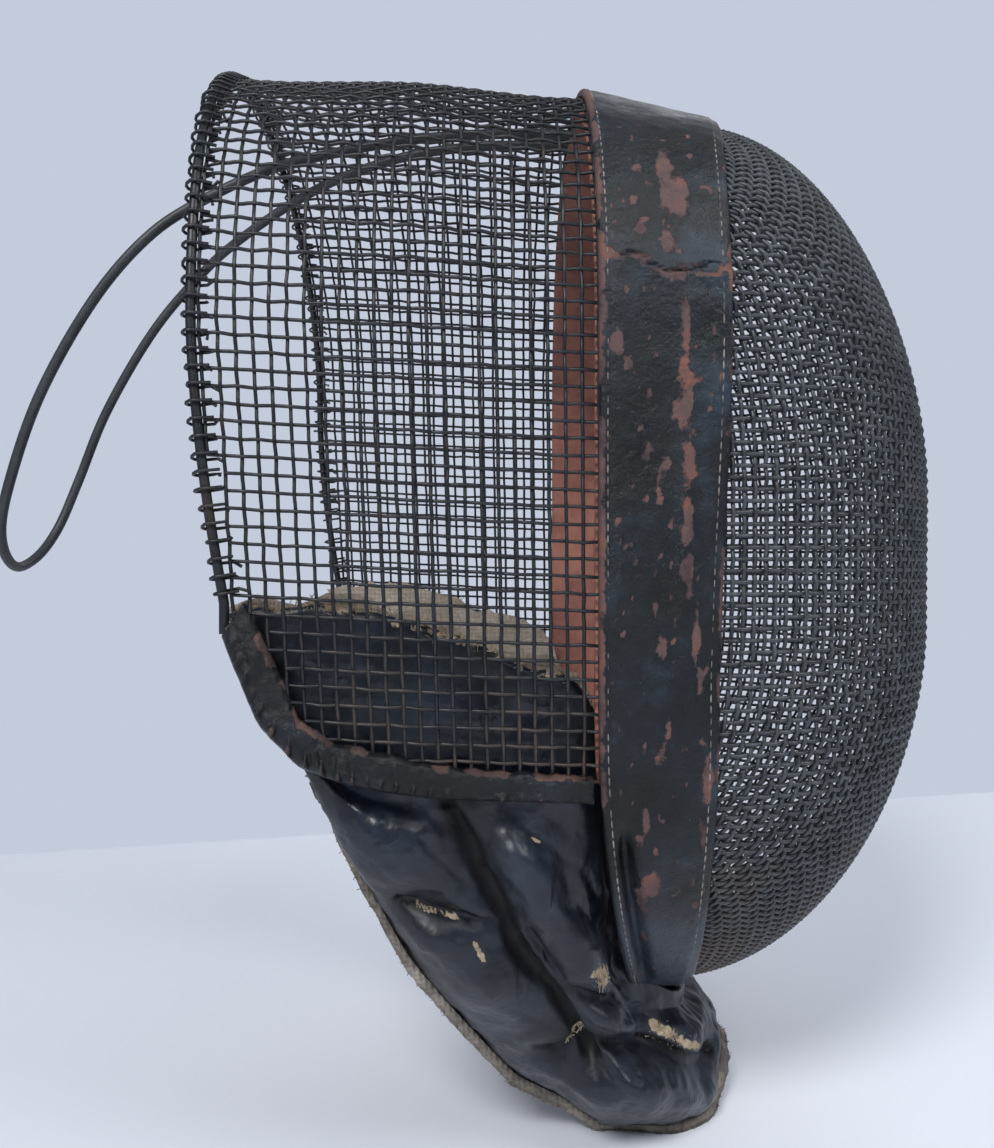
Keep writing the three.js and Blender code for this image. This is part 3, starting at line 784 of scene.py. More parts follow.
def sideMesh():
    random = np.random.default_rng(7)
    knots = sideKnots(random)
    normals = sideNormals(np.nan_to_num(knots))
    cross = netLines(knots, normals, 0, 1, sideNet["crimp"], 3)
    upright = netLines(knots, normals, 1, -1, sideNet["crimp"], 3)
    loops = []
    for row in range(sideNet["rows"]):
        for sign in (-1, 1) if row else (1,):
            if crownArc - sideNet["pitch"] * row + maskForm["archCentreZ"] < maskForm["rimFootZ"] + 2:
                continue
            loops.append(rimLoop(row, random, sign))
    for name, lines, radius, sides in (
            ("side_mesh_cross_wires", cross, sideNet["wire"] / 2, sideNet["sides"]),
            ("side_mesh_upright_wires", upright, sideNet["wire"] / 2, sideNet["sides"]),
            ("rim_loops", loops, rim["loopWire"] / 2, rim["loopSides"])):
        piece = wires(name, lines, radius, sides, sideWire)
        standIn(piece, "side_mesh")
    foot = maskForm["rimFootZ"] - maskForm["archCentreZ"] - rim["pastFoot"]
    arc = np.linspace(foot, crownArc, rim["points"])
    right = rimPoint(arc, -1)
    line = np.concatenate([right, (right * (1, -1, 1))[-2::-1]])
    piece = wires("rim_wire_bare", [line], rim["wire"] / 2, rim["sides"], sideWire)
    standIn(piece, "rim_wire")


sideMesh()
print("side mesh woven")

# The leather band covers the joint of the two meshes.
band = {"gap": 1.3, "wall": 2.4, "across": 34, "around": 560, "stitchIn": 2.4, "stitchPitch": 3.0,
        "stitch": (2.75, 0.55, 0.5), "groove": 0.32, "grooveWidth": 0.55, "lipThin": 0.55,
        "ridgeAt": 0.66, "ridge": 0.9, "ridgeWidth": 0.05, "ridgeTop": 270, "ridgeFoot": 120,
        "crackZ": 257, "crackDepth": 1.3, "crackWidth": 0.36, "crackLip": 0.7, "lipWidth": 3.2,
        "valley": 4.6, "valleyAt": 5.4, "valleyWidth": 1.9, "valleyTop": 113, "valleyFoot": 50,
        "chips": 230, "farMarks": 70, "seed": 11}
wearMarks = [  # share across the band from its rear edge, height, half width and half height, strength
    (0.52, 281, 0.075, 14, 0.5), (0.62, 276, 0.07, 10, 0.46), (0.5, 262, 0.06, 5, 0.46),
    (0.3, 284, 0.05, 2, 0.4), (0.26, 274, 0.04, 2.4, 0.44), (0.38, 279, 0.03, 2, 0.44),
    (0.3, 266, 0.06, 2.6, 0.44), (0.38, 269, 0.03, 2, 0.4), (0.36, 258, 0.3, 1.2, 0.36),
    (0.75, 254, 0.2, 1, 0.36), (0.12, 236, 0.06, 4.5, 0.5), (0.2, 231, 0.04, 3, 0.46),
    (0.63, 240, 0.04, 12, 0.5), (0.65, 222, 0.045, 11, 0.5), (0.67, 206, 0.06, 9, 0.5),
    (0.68, 190, 0.055, 9, 0.48), (0.7, 176, 0.05, 8, 0.5), (0.57, 218, 0.04, 3, 0.46),
    (0.36, 223, 0.03, 2.5, 0.44), (0.3, 214, 0.035, 2, 0.42), (0.46, 240, 0.02, 2, 0.4),
    (0.85, 240, 0.03, 2, 0.46), (0.84, 233, 0.03, 2.4, 0.46), (0.9, 228, 0.03, 2.5, 0.46),
    (0.36, 208, 0.04, 3, 0.42), (0.45, 199, 0.03, 6, 0.42), (0.56, 190, 0.04, 2.5, 0.42),
    (0.5, 205, 0.05, 2.5, 0.4), (0.44, 167, 0.04, 3.5, 0.48), (0.5, 158, 0.05, 5, 0.42),
    (0.42, 176, 0.02, 2, 0.4), (0.78, 160, 0.035, 9, 0.48), (0.82, 148, 0.03, 5, 0.46),
    (0.56, 136, 0.03, 4, 0.46), (0.48, 129, 0.05, 2.4, 0.46), (0.53, 131, 0.03, 6, 0.4),
    (0.9, 122, 0.05, 9, 0.5), (0.88, 108, 0.04, 5, 0.46), (0.36, 113, 0.04, 5, 0.5),
    (0.3, 107, 0.05, 2.5, 0.42), (0.4, 94, 0.11, 4.5, 0.55), (0.32, 89, 0.06, 6, 0.5),
    (0.8, 94, 0.03, 3.5, 0.44), (0.86, 87, 0.06, 2.5, 0.44), (0.3, 75, 0.03, 6, 0.36),
    (0.6, 222, 0.02, 22, 0.36),
]


def blob(value, centre, half):
    return ((value - centre) / half) ** 2


def noiseAt(points, scale, seed=0.0, octaves=3):  # fractal noise from -1 to 1 at points in mm
    flat = points.reshape(-1, 3) / scale + seed
    values = [noise.fractal(Vector(p), 1.0, 2.0, octaves) for p in flat]
    return np.array(values).reshape(points.shape[:-1])


def bandGrid(rows, columns, crowded=True):
    u = np.linspace(0, 1, rows)
    v = np.arange(columns) / columns
    if crowded:  # closer rows at the two edges, closer columns at the crack
        u = mix(u, 0.5 - 0.5 * np.cos(np.pi * u), 0.55)
        even = np.linspace(0, 1, 2001)
        place = bandSurface(np.full(2001, 0.5), even)
        dense = 1 + 4 * np.exp(-blob(place[:, 2], band["crackZ"], 8)) * (place[:, 1] < 0)
        share = np.r_[0, np.cumsum(dense[1:])]
        v = np.interp(v, share / share[-1], even)
    return np.meshgrid(u, v, indexing="ij")


def bandWear(u, grid, random):
    wear = np.zeros(u.shape)
    nearSide = grid[..., 1] < 0
    for share, height, halfWidth, halfHeight, strength in wearMarks:
        mark = np.exp(-blob(u, share, halfWidth * 1.2) - blob(grid[..., 2], height, halfHeight))
        mark = (strength + 0.04) * mark
        wear = np.where(nearSide, np.maximum(wear, mark), wear)
    for _ in range(band["chips"]):  # small chips all round
        share, height = random.uniform(0.06, 0.94), random.uniform(50, 300)
        half, strength = random.uniform(0.012, 0.034), random.uniform(0.4, 0.5)
        mark = np.exp(-blob(u, share, half) - blob(grid[..., 2], height, half * 60))
        wear = np.maximum(wear, strength * mark)
    for _ in range(band["farMarks"]):  # the other side and the crown, rubbed in the same way
        share, angle = random.normal(0.55, 0.17), random.uniform(0, 1)
        height, halfWidth = 60 + 260 * angle, random.uniform(0.02, 0.07)
        halfHeight, strength = random.uniform(1.5, 11), random.uniform(0.34, 0.5)
        mark = strength * np.exp(-blob(u, share, halfWidth) - blob(grid[..., 2], height, halfHeight))
        wear = np.where(nearSide, wear, np.maximum(wear, mark))
    spread = noiseAt(grid, 16, 3.0)
    rearEdge = 0.5 * np.exp(-(u / 0.062) ** 2) * smooth(1.0 + spread) * smooth((grid[..., 2] - 108) / 12)
    frontEdge = 0.4 * np.exp(-((1 - u) / 0.06) ** 2) * smooth(0.45 + spread * 1.2)
    return np.maximum(wear, np.maximum(rearEdge, frontEdge))


def leatherBand():
    b = band
    random = np.random.default_rng(b["seed"])
    u, v = bandGrid(b["across"], b["around"])
    middle = bandSurface(u, v)
    normals = gridNormals(middle, True)
    width = np.linalg.norm(np.diff(middle, axis=0), axis=-1).sum(0)
    fromRear, fromFront = u * width, (1 - u) * width
    relief = 0.35 * noiseAt(middle, 38, 1.0) + 0.2 * noiseAt(middle, 9, 2.0)
    for distance in (fromRear, fromFront):
        relief = relief - b["groove"] * np.exp(-blob(distance, b["stitchIn"], b["grooveWidth"]))
        relief = relief - 0.75 * np.exp(-(distance / 0.5) ** 2)
    relief = relief - b["lipThin"] * smooth((b["stitchIn"] - fromFront) / 1.2)
    relief = relief + b["ridge"] * np.exp(-blob(u, b["ridgeAt"], b["ridgeWidth"])) * smooth(
        (b["ridgeTop"] - middle[..., 2]) / 50) * smooth((middle[..., 2] - b["ridgeFoot"]) / 60)
    crackZ = b["crackZ"] + 2.2 * np.sin(u * 9) - 9 * np.maximum(0, u - 0.55)  # the crack wanders and dips
    crackZ = crackZ + 2 * noiseAt(middle, 7, 5.0) + noiseAt(middle, 2.5, 5.5)
    crack = np.where(middle[..., 1] < 0, np.exp(-blob(middle[..., 2], crackZ, b["crackWidth"])), 0)
    crack = crack * smooth((u - 0.1) / 0.12) * smooth((0.93 - u) / 0.1)
    lips = np.where(middle[..., 1] < 0, np.exp(-blob(middle[..., 2], crackZ, b["lipWidth"])), 0)
    relief = relief - b["crackDepth"] * crack + b["crackLip"] * lips * smooth((u - 0.05) / 0.15)
    valley = b["valley"] * np.exp(-blob(fromRear, b["valleyAt"], b["valleyWidth"])) * smooth(
        (b["valleyTop"] - middle[..., 2]) / 12) * smooth((middle[..., 2] - b["valleyFoot"]) / 10)
    outer = middle + normals * (b["gap"] + b["wall"] + relief - valley)[..., None]
    inner = middle + normals * (b["gap"] - valley)[..., None]
    wear = np.maximum(bandWear(u, middle, random), 0.43 * lips * (0.7 + 0.9 * noiseAt(middle, 9, 8.0)))
    # painted sheen: a grey-blue share at the crown's top above about 308 mm, and growing below 100 mm
    # towards the chin
    paintedSheen = 0.5 * smooth((middle[..., 2] - 308 + 12 * noiseAt(middle, 25, 4.0)) / 20)
    paintedSheen = np.maximum(paintedSheen, 0.8 * smooth((100 - middle[..., 2] + 10 * noiseAt(middle, 18, 6.0)) / 30))
    mesh = sheetMesh("band_outer_leather", outer, inner, True, {"wear": wear, "paintedSheen": paintedSheen})
    piece = makePiece("band_outer_leather", mesh, blackLeather)
    standIn(piece, "band_outer")

    lines = []
    for distance in (fromRear, fromFront):  # the stitch lines lie in the grooves
        row = np.argmin(np.abs(distance - b["stitchIn"]).mean(1))
        share = b["stitchIn"] / width if distance is fromRear else 1 - b["stitchIn"] / width
        at = bandSurface(share, v[0])
        line = at + gridNormals(np.stack([at, at + (1, 0, 0)]), True)[0] * (
            b["gap"] + b["wall"] - 0.12 + relief[row, :, None] * 0.6)
        lines.append(np.concatenate([line, line[:1]]))
    piece = runTree("band_stitches", linesObject(lines), stitchTree, {
        "Pitch": b["stitchPitch"] / 1000, "Size": [side / 1000 for side in b["stitch"]], "Kept": 0.95,
        "Seed": 3, "Finish": thread})
    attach(piece, "root")


innerBand = {"gap": -2.1, "wall": 1.6, "across": 16, "around": 320, "springRoom": 5.8, "springRoomY": 26,
             "hiddenBelow": 122, "hiddenBy": 0.16}


def hideBand():  # raw hide inside the joint, let down over the spring's legs and kept back at the chin
    b = innerBand
    u, v = bandGrid(b["across"], b["around"], False)
    low = smooth((b["hiddenBelow"] - bandSurface(u, v)[..., 2]) / 10)
    middle = bandSurface(u + b["hiddenBy"] * (1 - u) * low, v)
    normals = gridNormals(middle, True)
    relief = 0.3 * noiseAt(middle, 30, 12.0) + 0.1 * noiseAt(middle, 6, 13.0)
    near = np.maximum(0, 1 - (middle[..., 1] / b["springRoomY"]) ** 2) ** 0.5
    drop = np.where(middle[..., 2] > maskForm["archCentreZ"], b["springRoom"] * near, 0)
    outer = middle + normals * b["gap"]
    inner = middle + normals * (b["gap"] - b["wall"] + relief)[..., None]
    outer[..., 2] -= drop
    inner[..., 2] -= drop
    mesh = sheetMesh("band_inner_hide", outer, inner, True)
    piece = makePiece("band_inner_hide", mesh, redHide)
    standIn(piece, "band_inner")


leatherBand()
hideBand()
print("bands fitted")

trim = {"outside": 3.3, "inside": 2.2, "columns": 190, "rows": 26, "wirePitch": 4.5, "wireBump": 2.6,
        "swell": 1.3}


def trimBinding(side, sign):
    t = trim
    stations = np.array(trimStations, float)
    length = np.linspace(0, 1, len(stations))
    share = np.linspace(0, 1, t["columns"])
    fine = np.stack([np.interp(share, length, column) for column in stations.T], 1)
    for _ in range(12):  # corners of the run of stations rounded off
        fine[1:-1] = (fine[:-2] + fine[1:-1] * 2 + fine[2:]) / 4
    along = np.cumsum(np.r_[0, np.linalg.norm(np.diff(fine[:, :2], axis=0), axis=1)])
    turn = np.linspace(0, 1, t["rows"])[:, None]  # from the upper edge down the outside
    ragged = 0.9 * noiseAt(np.stack([along, 0 * along, 0 * along + 40 * sign], -1), 5, 21.0)
    topX, topZ, lowX, lowZ = (fine[:, k][None] for k in range(4))
    down = turn + 0 * topX
    x = mix(topX, lowX, down)
    z = mix(topZ + ragged[None] * (1 - down) ** 2, lowZ, down)
    bulge = t["swell"] * np.sin(np.pi * down) + 1.1 * np.exp(-blob(down, 0.8, 0.16)) * 0.5
    ridges = np.maximum(0, np.cos(2 * np.pi * along / t["wirePitch"])) ** 3
    wobble = noiseAt(np.stack([x, 0 * x + 90 * sign, z], -1), 10, 23.0)
    wrinkle = -0.8 * np.abs(noiseAt(np.stack([x * 1.5, 0 * x + 90 * sign, z * 0.6], -1), 6, 25.0))
    bumps = t["wireBump"] * ridges[None] * (0.8 + 0.7 * wobble) * np.exp(-blob(down, 0.78, 0.15))
    thin = -1.5 * np.exp(-(down / 0.05) ** 2) - 1.6 * np.exp(-((1 - down) / 0.05) ** 2)
    out = t["outside"] - 0.7 + bulge * 0.8 + bumps + 0.8 * wobble + wrinkle + thin
    body = sideSizeAt(x)[0] * drawnIn(z)
    outer = np.stack([x, sign * (body + out), z], -1)
    inner = np.stack([x, sign * (body - t["inside"]), z], -1)
    wear = 0.5 * np.exp(-(down / 0.2) ** 2) * smooth(0.55 + 1.4 * wobble) + 0.2 * bumps
    mesh = sheetMesh("bottom_trim_binding_" + side, outer, inner, False, {"wear": wear, "paintedSheen": 0 * wear})
    piece = makePiece("bottom_trim_binding_" + side, mesh, trimLeather)
    standIn(piece, "bottom_trim_" + side)


for side, sign in (("right", -1), ("left", 1)):
    trimBinding(side, sign)
print("trims bound")

spring = {"radius": 1.72, "sides": 14, "end": (-156.5, 0, 177.5)}
springRoute = [  # middle of the wire, on the wearer's right
    (68, -5, 323), (39, -5, 328.8), (15, -5, 329.3), (-3, -5.5, 328.3), (-21, -7, 325.8),
    (-44, -11, 319.8), (-64, -17, 312), (-89, -23, 297), (-101, -26, 287), (-117, -27, 268.5),
    (-136, -27, 236), (-146, -26, 210), (-152, -22, 192), (-155, -13, 182)]


def smoothLine(points, spacing):  # a Catmull-Rom run through the points, evenly spaced
    points = np.array(points, float)
    ends = np.concatenate([[2 * points[0] - points[1]], points, [2 * points[-1] - points[-2]]])
    knots = np.cumsum(np.r_[0, np.linalg.norm(np.diff(ends, axis=0), axis=1) ** 0.5])
    run = []
    for k in range(1, len(ends) - 2):
        t0, t1, t2, t3 = knots[k - 1:k + 3]
        t = np.linspace(t1, t2, 24, endpoint=False)[:, None]
        p0, p1, p2, p3 = ends[k - 1:k + 3]
        a1, a2 = mix(p0, p1, (t - t0) / (t1 - t0)), mix(p1, p2, (t - t1) / (t2 - t1))
        a3 = mix(p2, p3, (t - t2) / (t3 - t2))
        b1, b2 = mix(a1, a2, (t - t0) / (t2 - t0)), mix(a2, a3, (t - t1) / (t3 - t1))
        run.append(mix(b1, b2, (t - t1) / (t2 - t1)))
    run = np.concatenate(run + [points[-1:]])
    length = np.cumsum(np.r_[0, np.linalg.norm(np.diff(run, axis=0), axis=1)])
    even = np.linspace(0, length[-1], max(2, int(length[-1] / spacing)))
    return np.stack([np.interp(even, length, column) for column in run.T], 1)


def backSpring():
    right = np.array(springRoute, float)
    route = np.concatenate([right, [spring["end"]], (right * (1, -1, 1))[::-1]])
    line = smoothLine(route, 3)
    piece = wires("back_spring_tubing", [line], spring["radius"], spring["sides"], tubing)
    standIn(piece, "back_spring")


backSpring()
print("spring bent")

bib = {"columns": 220, "upRows": 12, "downRows": 38, "innerPad": 4.5, "hemRoom": 3.2, "hemOut": 0.4,
       "liningUpRows": 22, "liningDownRows": 30, "hemColumns": 420,
       "tuckFrom": 0.66, "leastPad": 3, "foldShadeDepth": 13, "pressure": 4, "cap": 3.5, "simFrames": 20,
       "liningGap": 0.8, "liningWall": 1.2, "liningCut": (0.57, 0.14), "liningArea": 0.0256,
       "frayCount": 1100, "frayLength": 1.2, "tuftLength": 1.9, "fluffCount": 900, "fluffLength": 3.2}
bibStations = [  # top edge inside the mesh, seam, hem, puff and pad of the right side, from the rear tip
    ((-60, -87, 166), (-47, -88, 142), (-37, -86, 124), 1, 5),
    ((-33, -87.5, 168), (-24, -87.5, 119), (-26, -78, 94), 4, 9),
    ((-5, -88, 162), (-2, -87.5, 115), (-11, -66, 62), 6, 11),
    ((15, -86.5, 154), (18, -86, 112), (5, -56.5, 38), 7, 12),
    ((36, -85, 145), (30, -83, 104), (18.5, -47, 20), 7, 13),
    ((48, -76, 112), (37, -78, 86), (32, -42, 11), 7, 14),
    ((50, -58, 80), (41, -65, 66), (47, -38, 0), 7, 15),
    ((50, -48, 60), (48, -50, 44), (58, -38.5, 0), 6, 15),
    ((66, -38, 44.6), (65, -38, 38), (69, -39, 0), 5, 14),
    ((72, -28, 41), (71, -28, 35), (81, -31, 1), 3, 12),
    ((75, -17, 37.6), (74, -17, 33), (89, -16, 9), 2, 10),
    ((77, 0, 35.8), (76, 0, 31), (91, 0, 13), 2, 9)]
folds = [  # depth and half width of each fold, then the x and z of the line it follows
    (16, 5.0, [(0.7, 115), (5, 104), (14, 85), (20.6, 70), (29, 58), (36, 44), (41, 36)]),
    (9, 3.6, [(-13, 87), (1.9, 83.7), (14, 80)]),
    (2.6, 1.8, [(11, 73.6), (18, 72)]),
    (11, 3.2, [(22, 78), (28.4, 66.3), (31.6, 60.5), (38, 57.5), (46, 53.5), (52, 50)]),
    (3.4, 2.2, [(22, 107), (32, 99), (38.5, 93), (41.5, 86)]),
    (8.0, 3.0, [(42, 112), (44, 98), (45.5, 84), (47, 66), (49, 56), (53, 46)]),
    (13, 3.4, [(30, 36), (38, 42), (44, 38.5), (58, 34), (77, 22), (85, 17)]),
    (4.5, 1.5, [(60, 50), (61, 44), (58.5, 39)]), (3.0, 1.5, [(49, 46), (55, 43), (58, 42)]),
    (2.5, 1.8, [(36, 50), (41, 47), (47, 45)]), (1.8, 2.2, [(44, 32), (49, 26), (50, 17)]),
    (1.6, 2.6, [(-8, 108), (0, 98), (8, 90)]), (1.8, 2.2, [(20, 52), (28, 46), (35, 45)]),
    (1.6, 2.0, [(26, 24), (33, 22), (39, 15)]), (1.5, 2.2, [(66, 24), (68, 16), (66, 9)]),
]
rollWidth = 3.1
swells = [  # x and z of the middle, half width, half height and height of the fuller places
    (24, 84, 11, 15, 5), (36, 62, 9, 9, 3), (-15, 103, 12, 11, 4), (11, 62, 13, 10, 5.5),
    (53, 22, 17, 10, 5.5), (-4, 77, 9, 8, 4), (16, 103, 9, 8, 3.5), (45, 49, 8, 5, 3.5), (76, 27, 7, 6, 2)]
tears = [  # from x, z to x, z, half width
    (40.5, 67, 43.5, 62.5, 2.7), (61, 37, 76, 27.5, 1.9), (-9, 86, 2, 82.6, 0.9), (7, 76, 9.5, 71, 1.0),
    (21.5, 106, 24.5, 104.8, 0.7), (33, 39.5, 38.5, 44, 0.9)]


def alongStations(values, place):  # smooth run through the stations' values at fractional places
    values = np.asarray(values, float)
    ends = np.concatenate([[2 * values[0] - values[1]], values, [2 * values[-1] - values[-2]]])
    low = np.clip(place.astype(int), 0, len(values) - 2)
    t = (place - low).reshape(-1, *[1] * (values.ndim - 1))
    a, b, c, d = (ends[low + k] for k in range(4))
    square, cube = 2 * a - 5 * b + 4 * c - d, 3 * b - a - 3 * c + d
    return 0.5 * (2 * b + (c - a) * t + square * t ** 2 + cube * t ** 3)


def bibTable(columns):
    right = [[np.array(place, float) for place in row[:3]] + list(row[3:]) for row in bibStations]
    left = [[place * (1, -1, 1) for place in row[:3]] + row[3:] for row in right[-2::-1]]
    rows = right + left
    place = np.linspace(0, len(rows) - 1, columns)
    return [alongStations([row[k] for row in rows], place) for k in range(5)]


def bibMiddle(up, down, table):  # up: from the seam to the top edge; down: to the hem
    top, seam, hem = (part[None] for part in table[:3])
    drop = hem - seam
    room = bib["hemRoom"] / np.maximum(np.linalg.norm(drop, axis=-1, keepdims=True), 1)
    return seam + (top - seam) * up[:, None, None] + drop * (1 - room) * down[:, None, None]


def outwardLevel(grid):
    along, across = np.gradient(grid, axis=1), np.gradient(grid, axis=0)
    across[..., 2] = np.minimum(across[..., 2], -1e-3)
    normals = np.cross(across, along)
    normals[..., 2] = 0
    normals = unit(normals)
    centre = np.stack([np.minimum(grid[..., 0], 30), 0 * grid[..., 0], grid[..., 2]], -1)
    turned = np.sum(normals * (grid - centre), -1, keepdims=True) < 0
    return np.where(turned, -normals, normals)


def lineDistance(x, z, line):
    best = np.full(x.shape, 1e9)
    for (x0, z0), (x1, z1) in zip(line, line[1:]):
        dx, dz = x1 - x0, z1 - z0
        t = np.clip(((x - x0) * dx + (z - z0) * dz) / (dx * dx + dz * dz), 0, 1)
        best = np.minimum(best, np.hypot(x - x0 - t * dx, z - z0 - t * dz))
    return best


def foldDepth(points, sharper=1.0):  # how far the folds draw the skin in at points on the outer face
    x, z = points[..., 0], points[..., 2]
    left = points[..., 1] > 0
    x = np.where(left, x + 5 * np.sin(z / 17), x)  # the far side's folds fall a little differently
    z = np.where(left, z + 4, z)
    wander = noiseAt(points, 14, 50.0, 2) * 1.6
    total = np.zeros(x.shape)
    for depth, half, line in folds:
        distance = lineDistance(x + wander, z - wander, line)
        near = 1 - np.minimum(distance / (half * rollWidth * sharper), 1)
        total = np.maximum(total, depth * (0.6 * near ** 1.6 + 0.4 * (1 - np.sqrt(1 - near ** 2))))
    return total


def swellHeight(points):
    x, z = points[..., 0], points[..., 2]
    return sum(height * np.exp(-blob(x, x0, w) - blob(z, z0, h)) for x0, z0, w, h, height in swells)


def bibFaces(columns, up, down):
    table = bibTable(columns)
    puff, pad = table[3][None], table[4][None]
    middle = bibMiddle(up, down, table)
    outward = outwardLevel(middle)
    side = smooth((down - up * 0.9 + 0.04) / 0.2)[:, None]
    low = down[:, None]
    swell = side * puff * np.sin(np.pi * np.clip(low, 0, 1)) ** 0.8
    tuck = np.sqrt(1 - np.clip((low - bib["tuckFrom"]) / (1 - bib["tuckFrom"]), 0, 1) ** 2)
    outer = mix(bib["hemOut"], mix(bib["innerPad"], pad, side) / 2, tuck) + swell
    inner = mix(bib["innerPad"], pad, low) / 2
    return middle, outward, outer, inner


def vertexValues(mesh, key):
    values = np.zeros(len(mesh.vertices) * 3)
    mesh.vertices.foreach_get(key, values)
    return values.reshape(-1, 3)


def inflate(piece, held, pressure, cap, frames):  # wadding pushes the skin out between its folds
    mesh = piece.data
    before = vertexValues(mesh, "co")
    group = piece.vertex_groups.new(name="held")
    for level in np.unique(np.round(held, 1)):
        group.add(np.flatnonzero(np.round(held, 1) == level).tolist(), float(level), "REPLACE")
    cloth = piece.modifiers.new("wadding", "CLOTH")
    settings = cloth.settings
    settings.quality, settings.mass = 6, 0.3
    settings.tension_stiffness, settings.compression_stiffness = 12, 12
    settings.shear_stiffness, settings.bending_stiffness = 6, 0.6
    settings.use_pressure, settings.uniform_pressure_force = True, pressure
    settings.vertex_group_mass = "held"
    settings.effector_weights.gravity = 0
    cloth.collision_settings.use_collision = False
    cloth.point_cache.frame_end = frames
    for number in range(1, frames + 1):
        scene.frame_set(number)
    graph = bpy.context.evaluated_depsgraph_get()
    move = vertexValues(piece.evaluated_get(graph).data, "co") - before
    length = np.linalg.norm(move, axis=1, keepdims=True)
    move = move * np.minimum(1, cap / 1000 / np.maximum(length, 1e-9))
    piece.modifiers.remove(cloth)
    mesh.vertices.foreach_set("co", (before + move).astype(np.float32).ravel())
    piece.vertex_groups.clear()
    scene.frame_set(1)
    print("  swelled by up to", round(float(np.abs(move).max()) * 1000, 1), "mm")


def subdivided(piece, levels=1):
    modifier = piece.modifiers.new("finer", "SUBSURF")
    modifier.levels = modifier.render_levels = levels
    graph = bpy.context.evaluated_depsgraph_get()
    mesh = bpy.data.meshes.new_from_object(piece.evaluated_get(graph), depsgraph=graph)
    piece.modifiers.clear()
    old, piece.data = piece.data, mesh
    bpy.data.meshes.remove(old)


def creased(piece):  # fine creases, and the shares that the finish reads: torn through, and painted shade deep in a fold
    mesh = piece.data
    points, normals = vertexValues(mesh, "co") * 1000, vertexValues(mesh, "normal")
    centre = np.stack([np.minimum(points[:, 0], 30), 0 * points[:, 0], points[:, 2]], -1)
    faceOut = smooth((np.sum(normals * unit(points - centre), 1) - 0.1) / 0.3)
    fine = 1.5 * np.abs(noiseAt(points * (1, 1, 0.7), 15, 70.0, 3)) + 0.3 * noiseAt(points, 5, 71.0)
    wrinkle = -fine * 0.8 + 0.3
    near = foldDepth(points, 0.24) * 0.24
    points = points + normals * ((wrinkle - near) * faceOut)[:, None]
    points[:, 2] = np.maximum(points[:, 2], bib["hemRoom"] * 0.7)
    # painted shade in the folds, growing with the fold's depth
    foldShade = np.clip(foldDepth(points) / bib["foldShadeDepth"], 0, 1) ** 1.8 * faceOut
    torn = np.zeros(len(points))
    for x0, z0, x1, z1, half in tears:
        for sign, shift in ((-1, 0), (1, 9)):
            distance = lineDistance(points[:, 0] + shift, points[:, 2] + shift, [(x0, z0), (x1, z1)])
            mark = 0.56 * np.exp(-(distance / half) ** 2)
            torn = np.maximum(torn, np.where(points[:, 1] * sign > 0, mark * faceOut, 0))
    tops = noiseAt(points, 6, 75.0)
    edge = smooth((points[:, 2] - topEdgeHeight(points[:, 0]) + 3.5) / 3) * smooth(0.6 + tops)
    torn = np.maximum(torn, 0.5 * edge)
    mesh.vertices.foreach_set("co", (points / 1000).astype(np.float32).ravel())
    for key, values in (("torn", torn), ("foldShade", foldShade)):
        mesh.attributes.new(key, "FLOAT", "POINT").data.foreach_set("value", values.astype(np.float32))
    mesh.update()


def paddedBib():
    b = bib
    up = np.r_[np.linspace(1, 0, b["upRows"], endpoint=False), np.zeros(b["downRows"])]
    down = np.r_[np.zeros(b["upRows"]), np.linspace(0, 1, b["downRows"])]
    middle, outward, outer, inner = bibFaces(b["columns"], up, down)
    ragged = noiseAt(middle[0], 7, 60.0) * 2.2 + noiseAt(middle[0], 2.5, 61.0) * 0.8
    lift = ragged[None] * np.clip((up - 0.7) / 0.3, 0, 1)[:, None]
    lift = lift * smooth((middle[:1, :, 2] - 90) / 30)
    middle[..., 2] += np.minimum(lift, 0.6)
    plain = middle + outward * outer[..., None]
    onSkin = smooth((down - 0.02) / 0.12)[:, None]
    depth = foldDepth(plain) * onSkin * smooth((1.02 - down) / 0.12)[:, None]
    limit = np.maximum(outer + inner - b["leastPad"], 0.5)
    depth = limit * (1 - np.exp(-depth / limit))
    full = swellHeight(plain) * onSkin * smooth((0.97 - down) / 0.15)[:, None]
    skin = middle + outward * (outer + full - depth)[..., None]
    lining = middle - outward * inner[..., None]
    mesh = sheetMesh("bib_padding", skin, lining)
    piece = makePiece("bib_padding", mesh, bibSkin)
    rows, columns = skin.shape[:2]
    held = np.ones((2, rows, columns))
    free = onSkin * smooth((0.97 - down) / 0.08)[:, None] * (1 - np.clip(depth / 3.0, 0, 1) ** 0.7)
    held[0] = 1 - free * 0.999
    held[0, :, :3] = held[0, :, -3:] = 1
    inflate(piece, held.ravel(), b["pressure"], b["cap"], b["simFrames"])
    subdivided(piece)
    creased(piece)
    standIn(piece, "bib")
    return middle, outward, outer


def topEdgeHeight(x):
    rows = np.array([row[0] for row in bibStations], float)[:7]
    return np.interp(x, rows[:, 0], rows[:, 2])


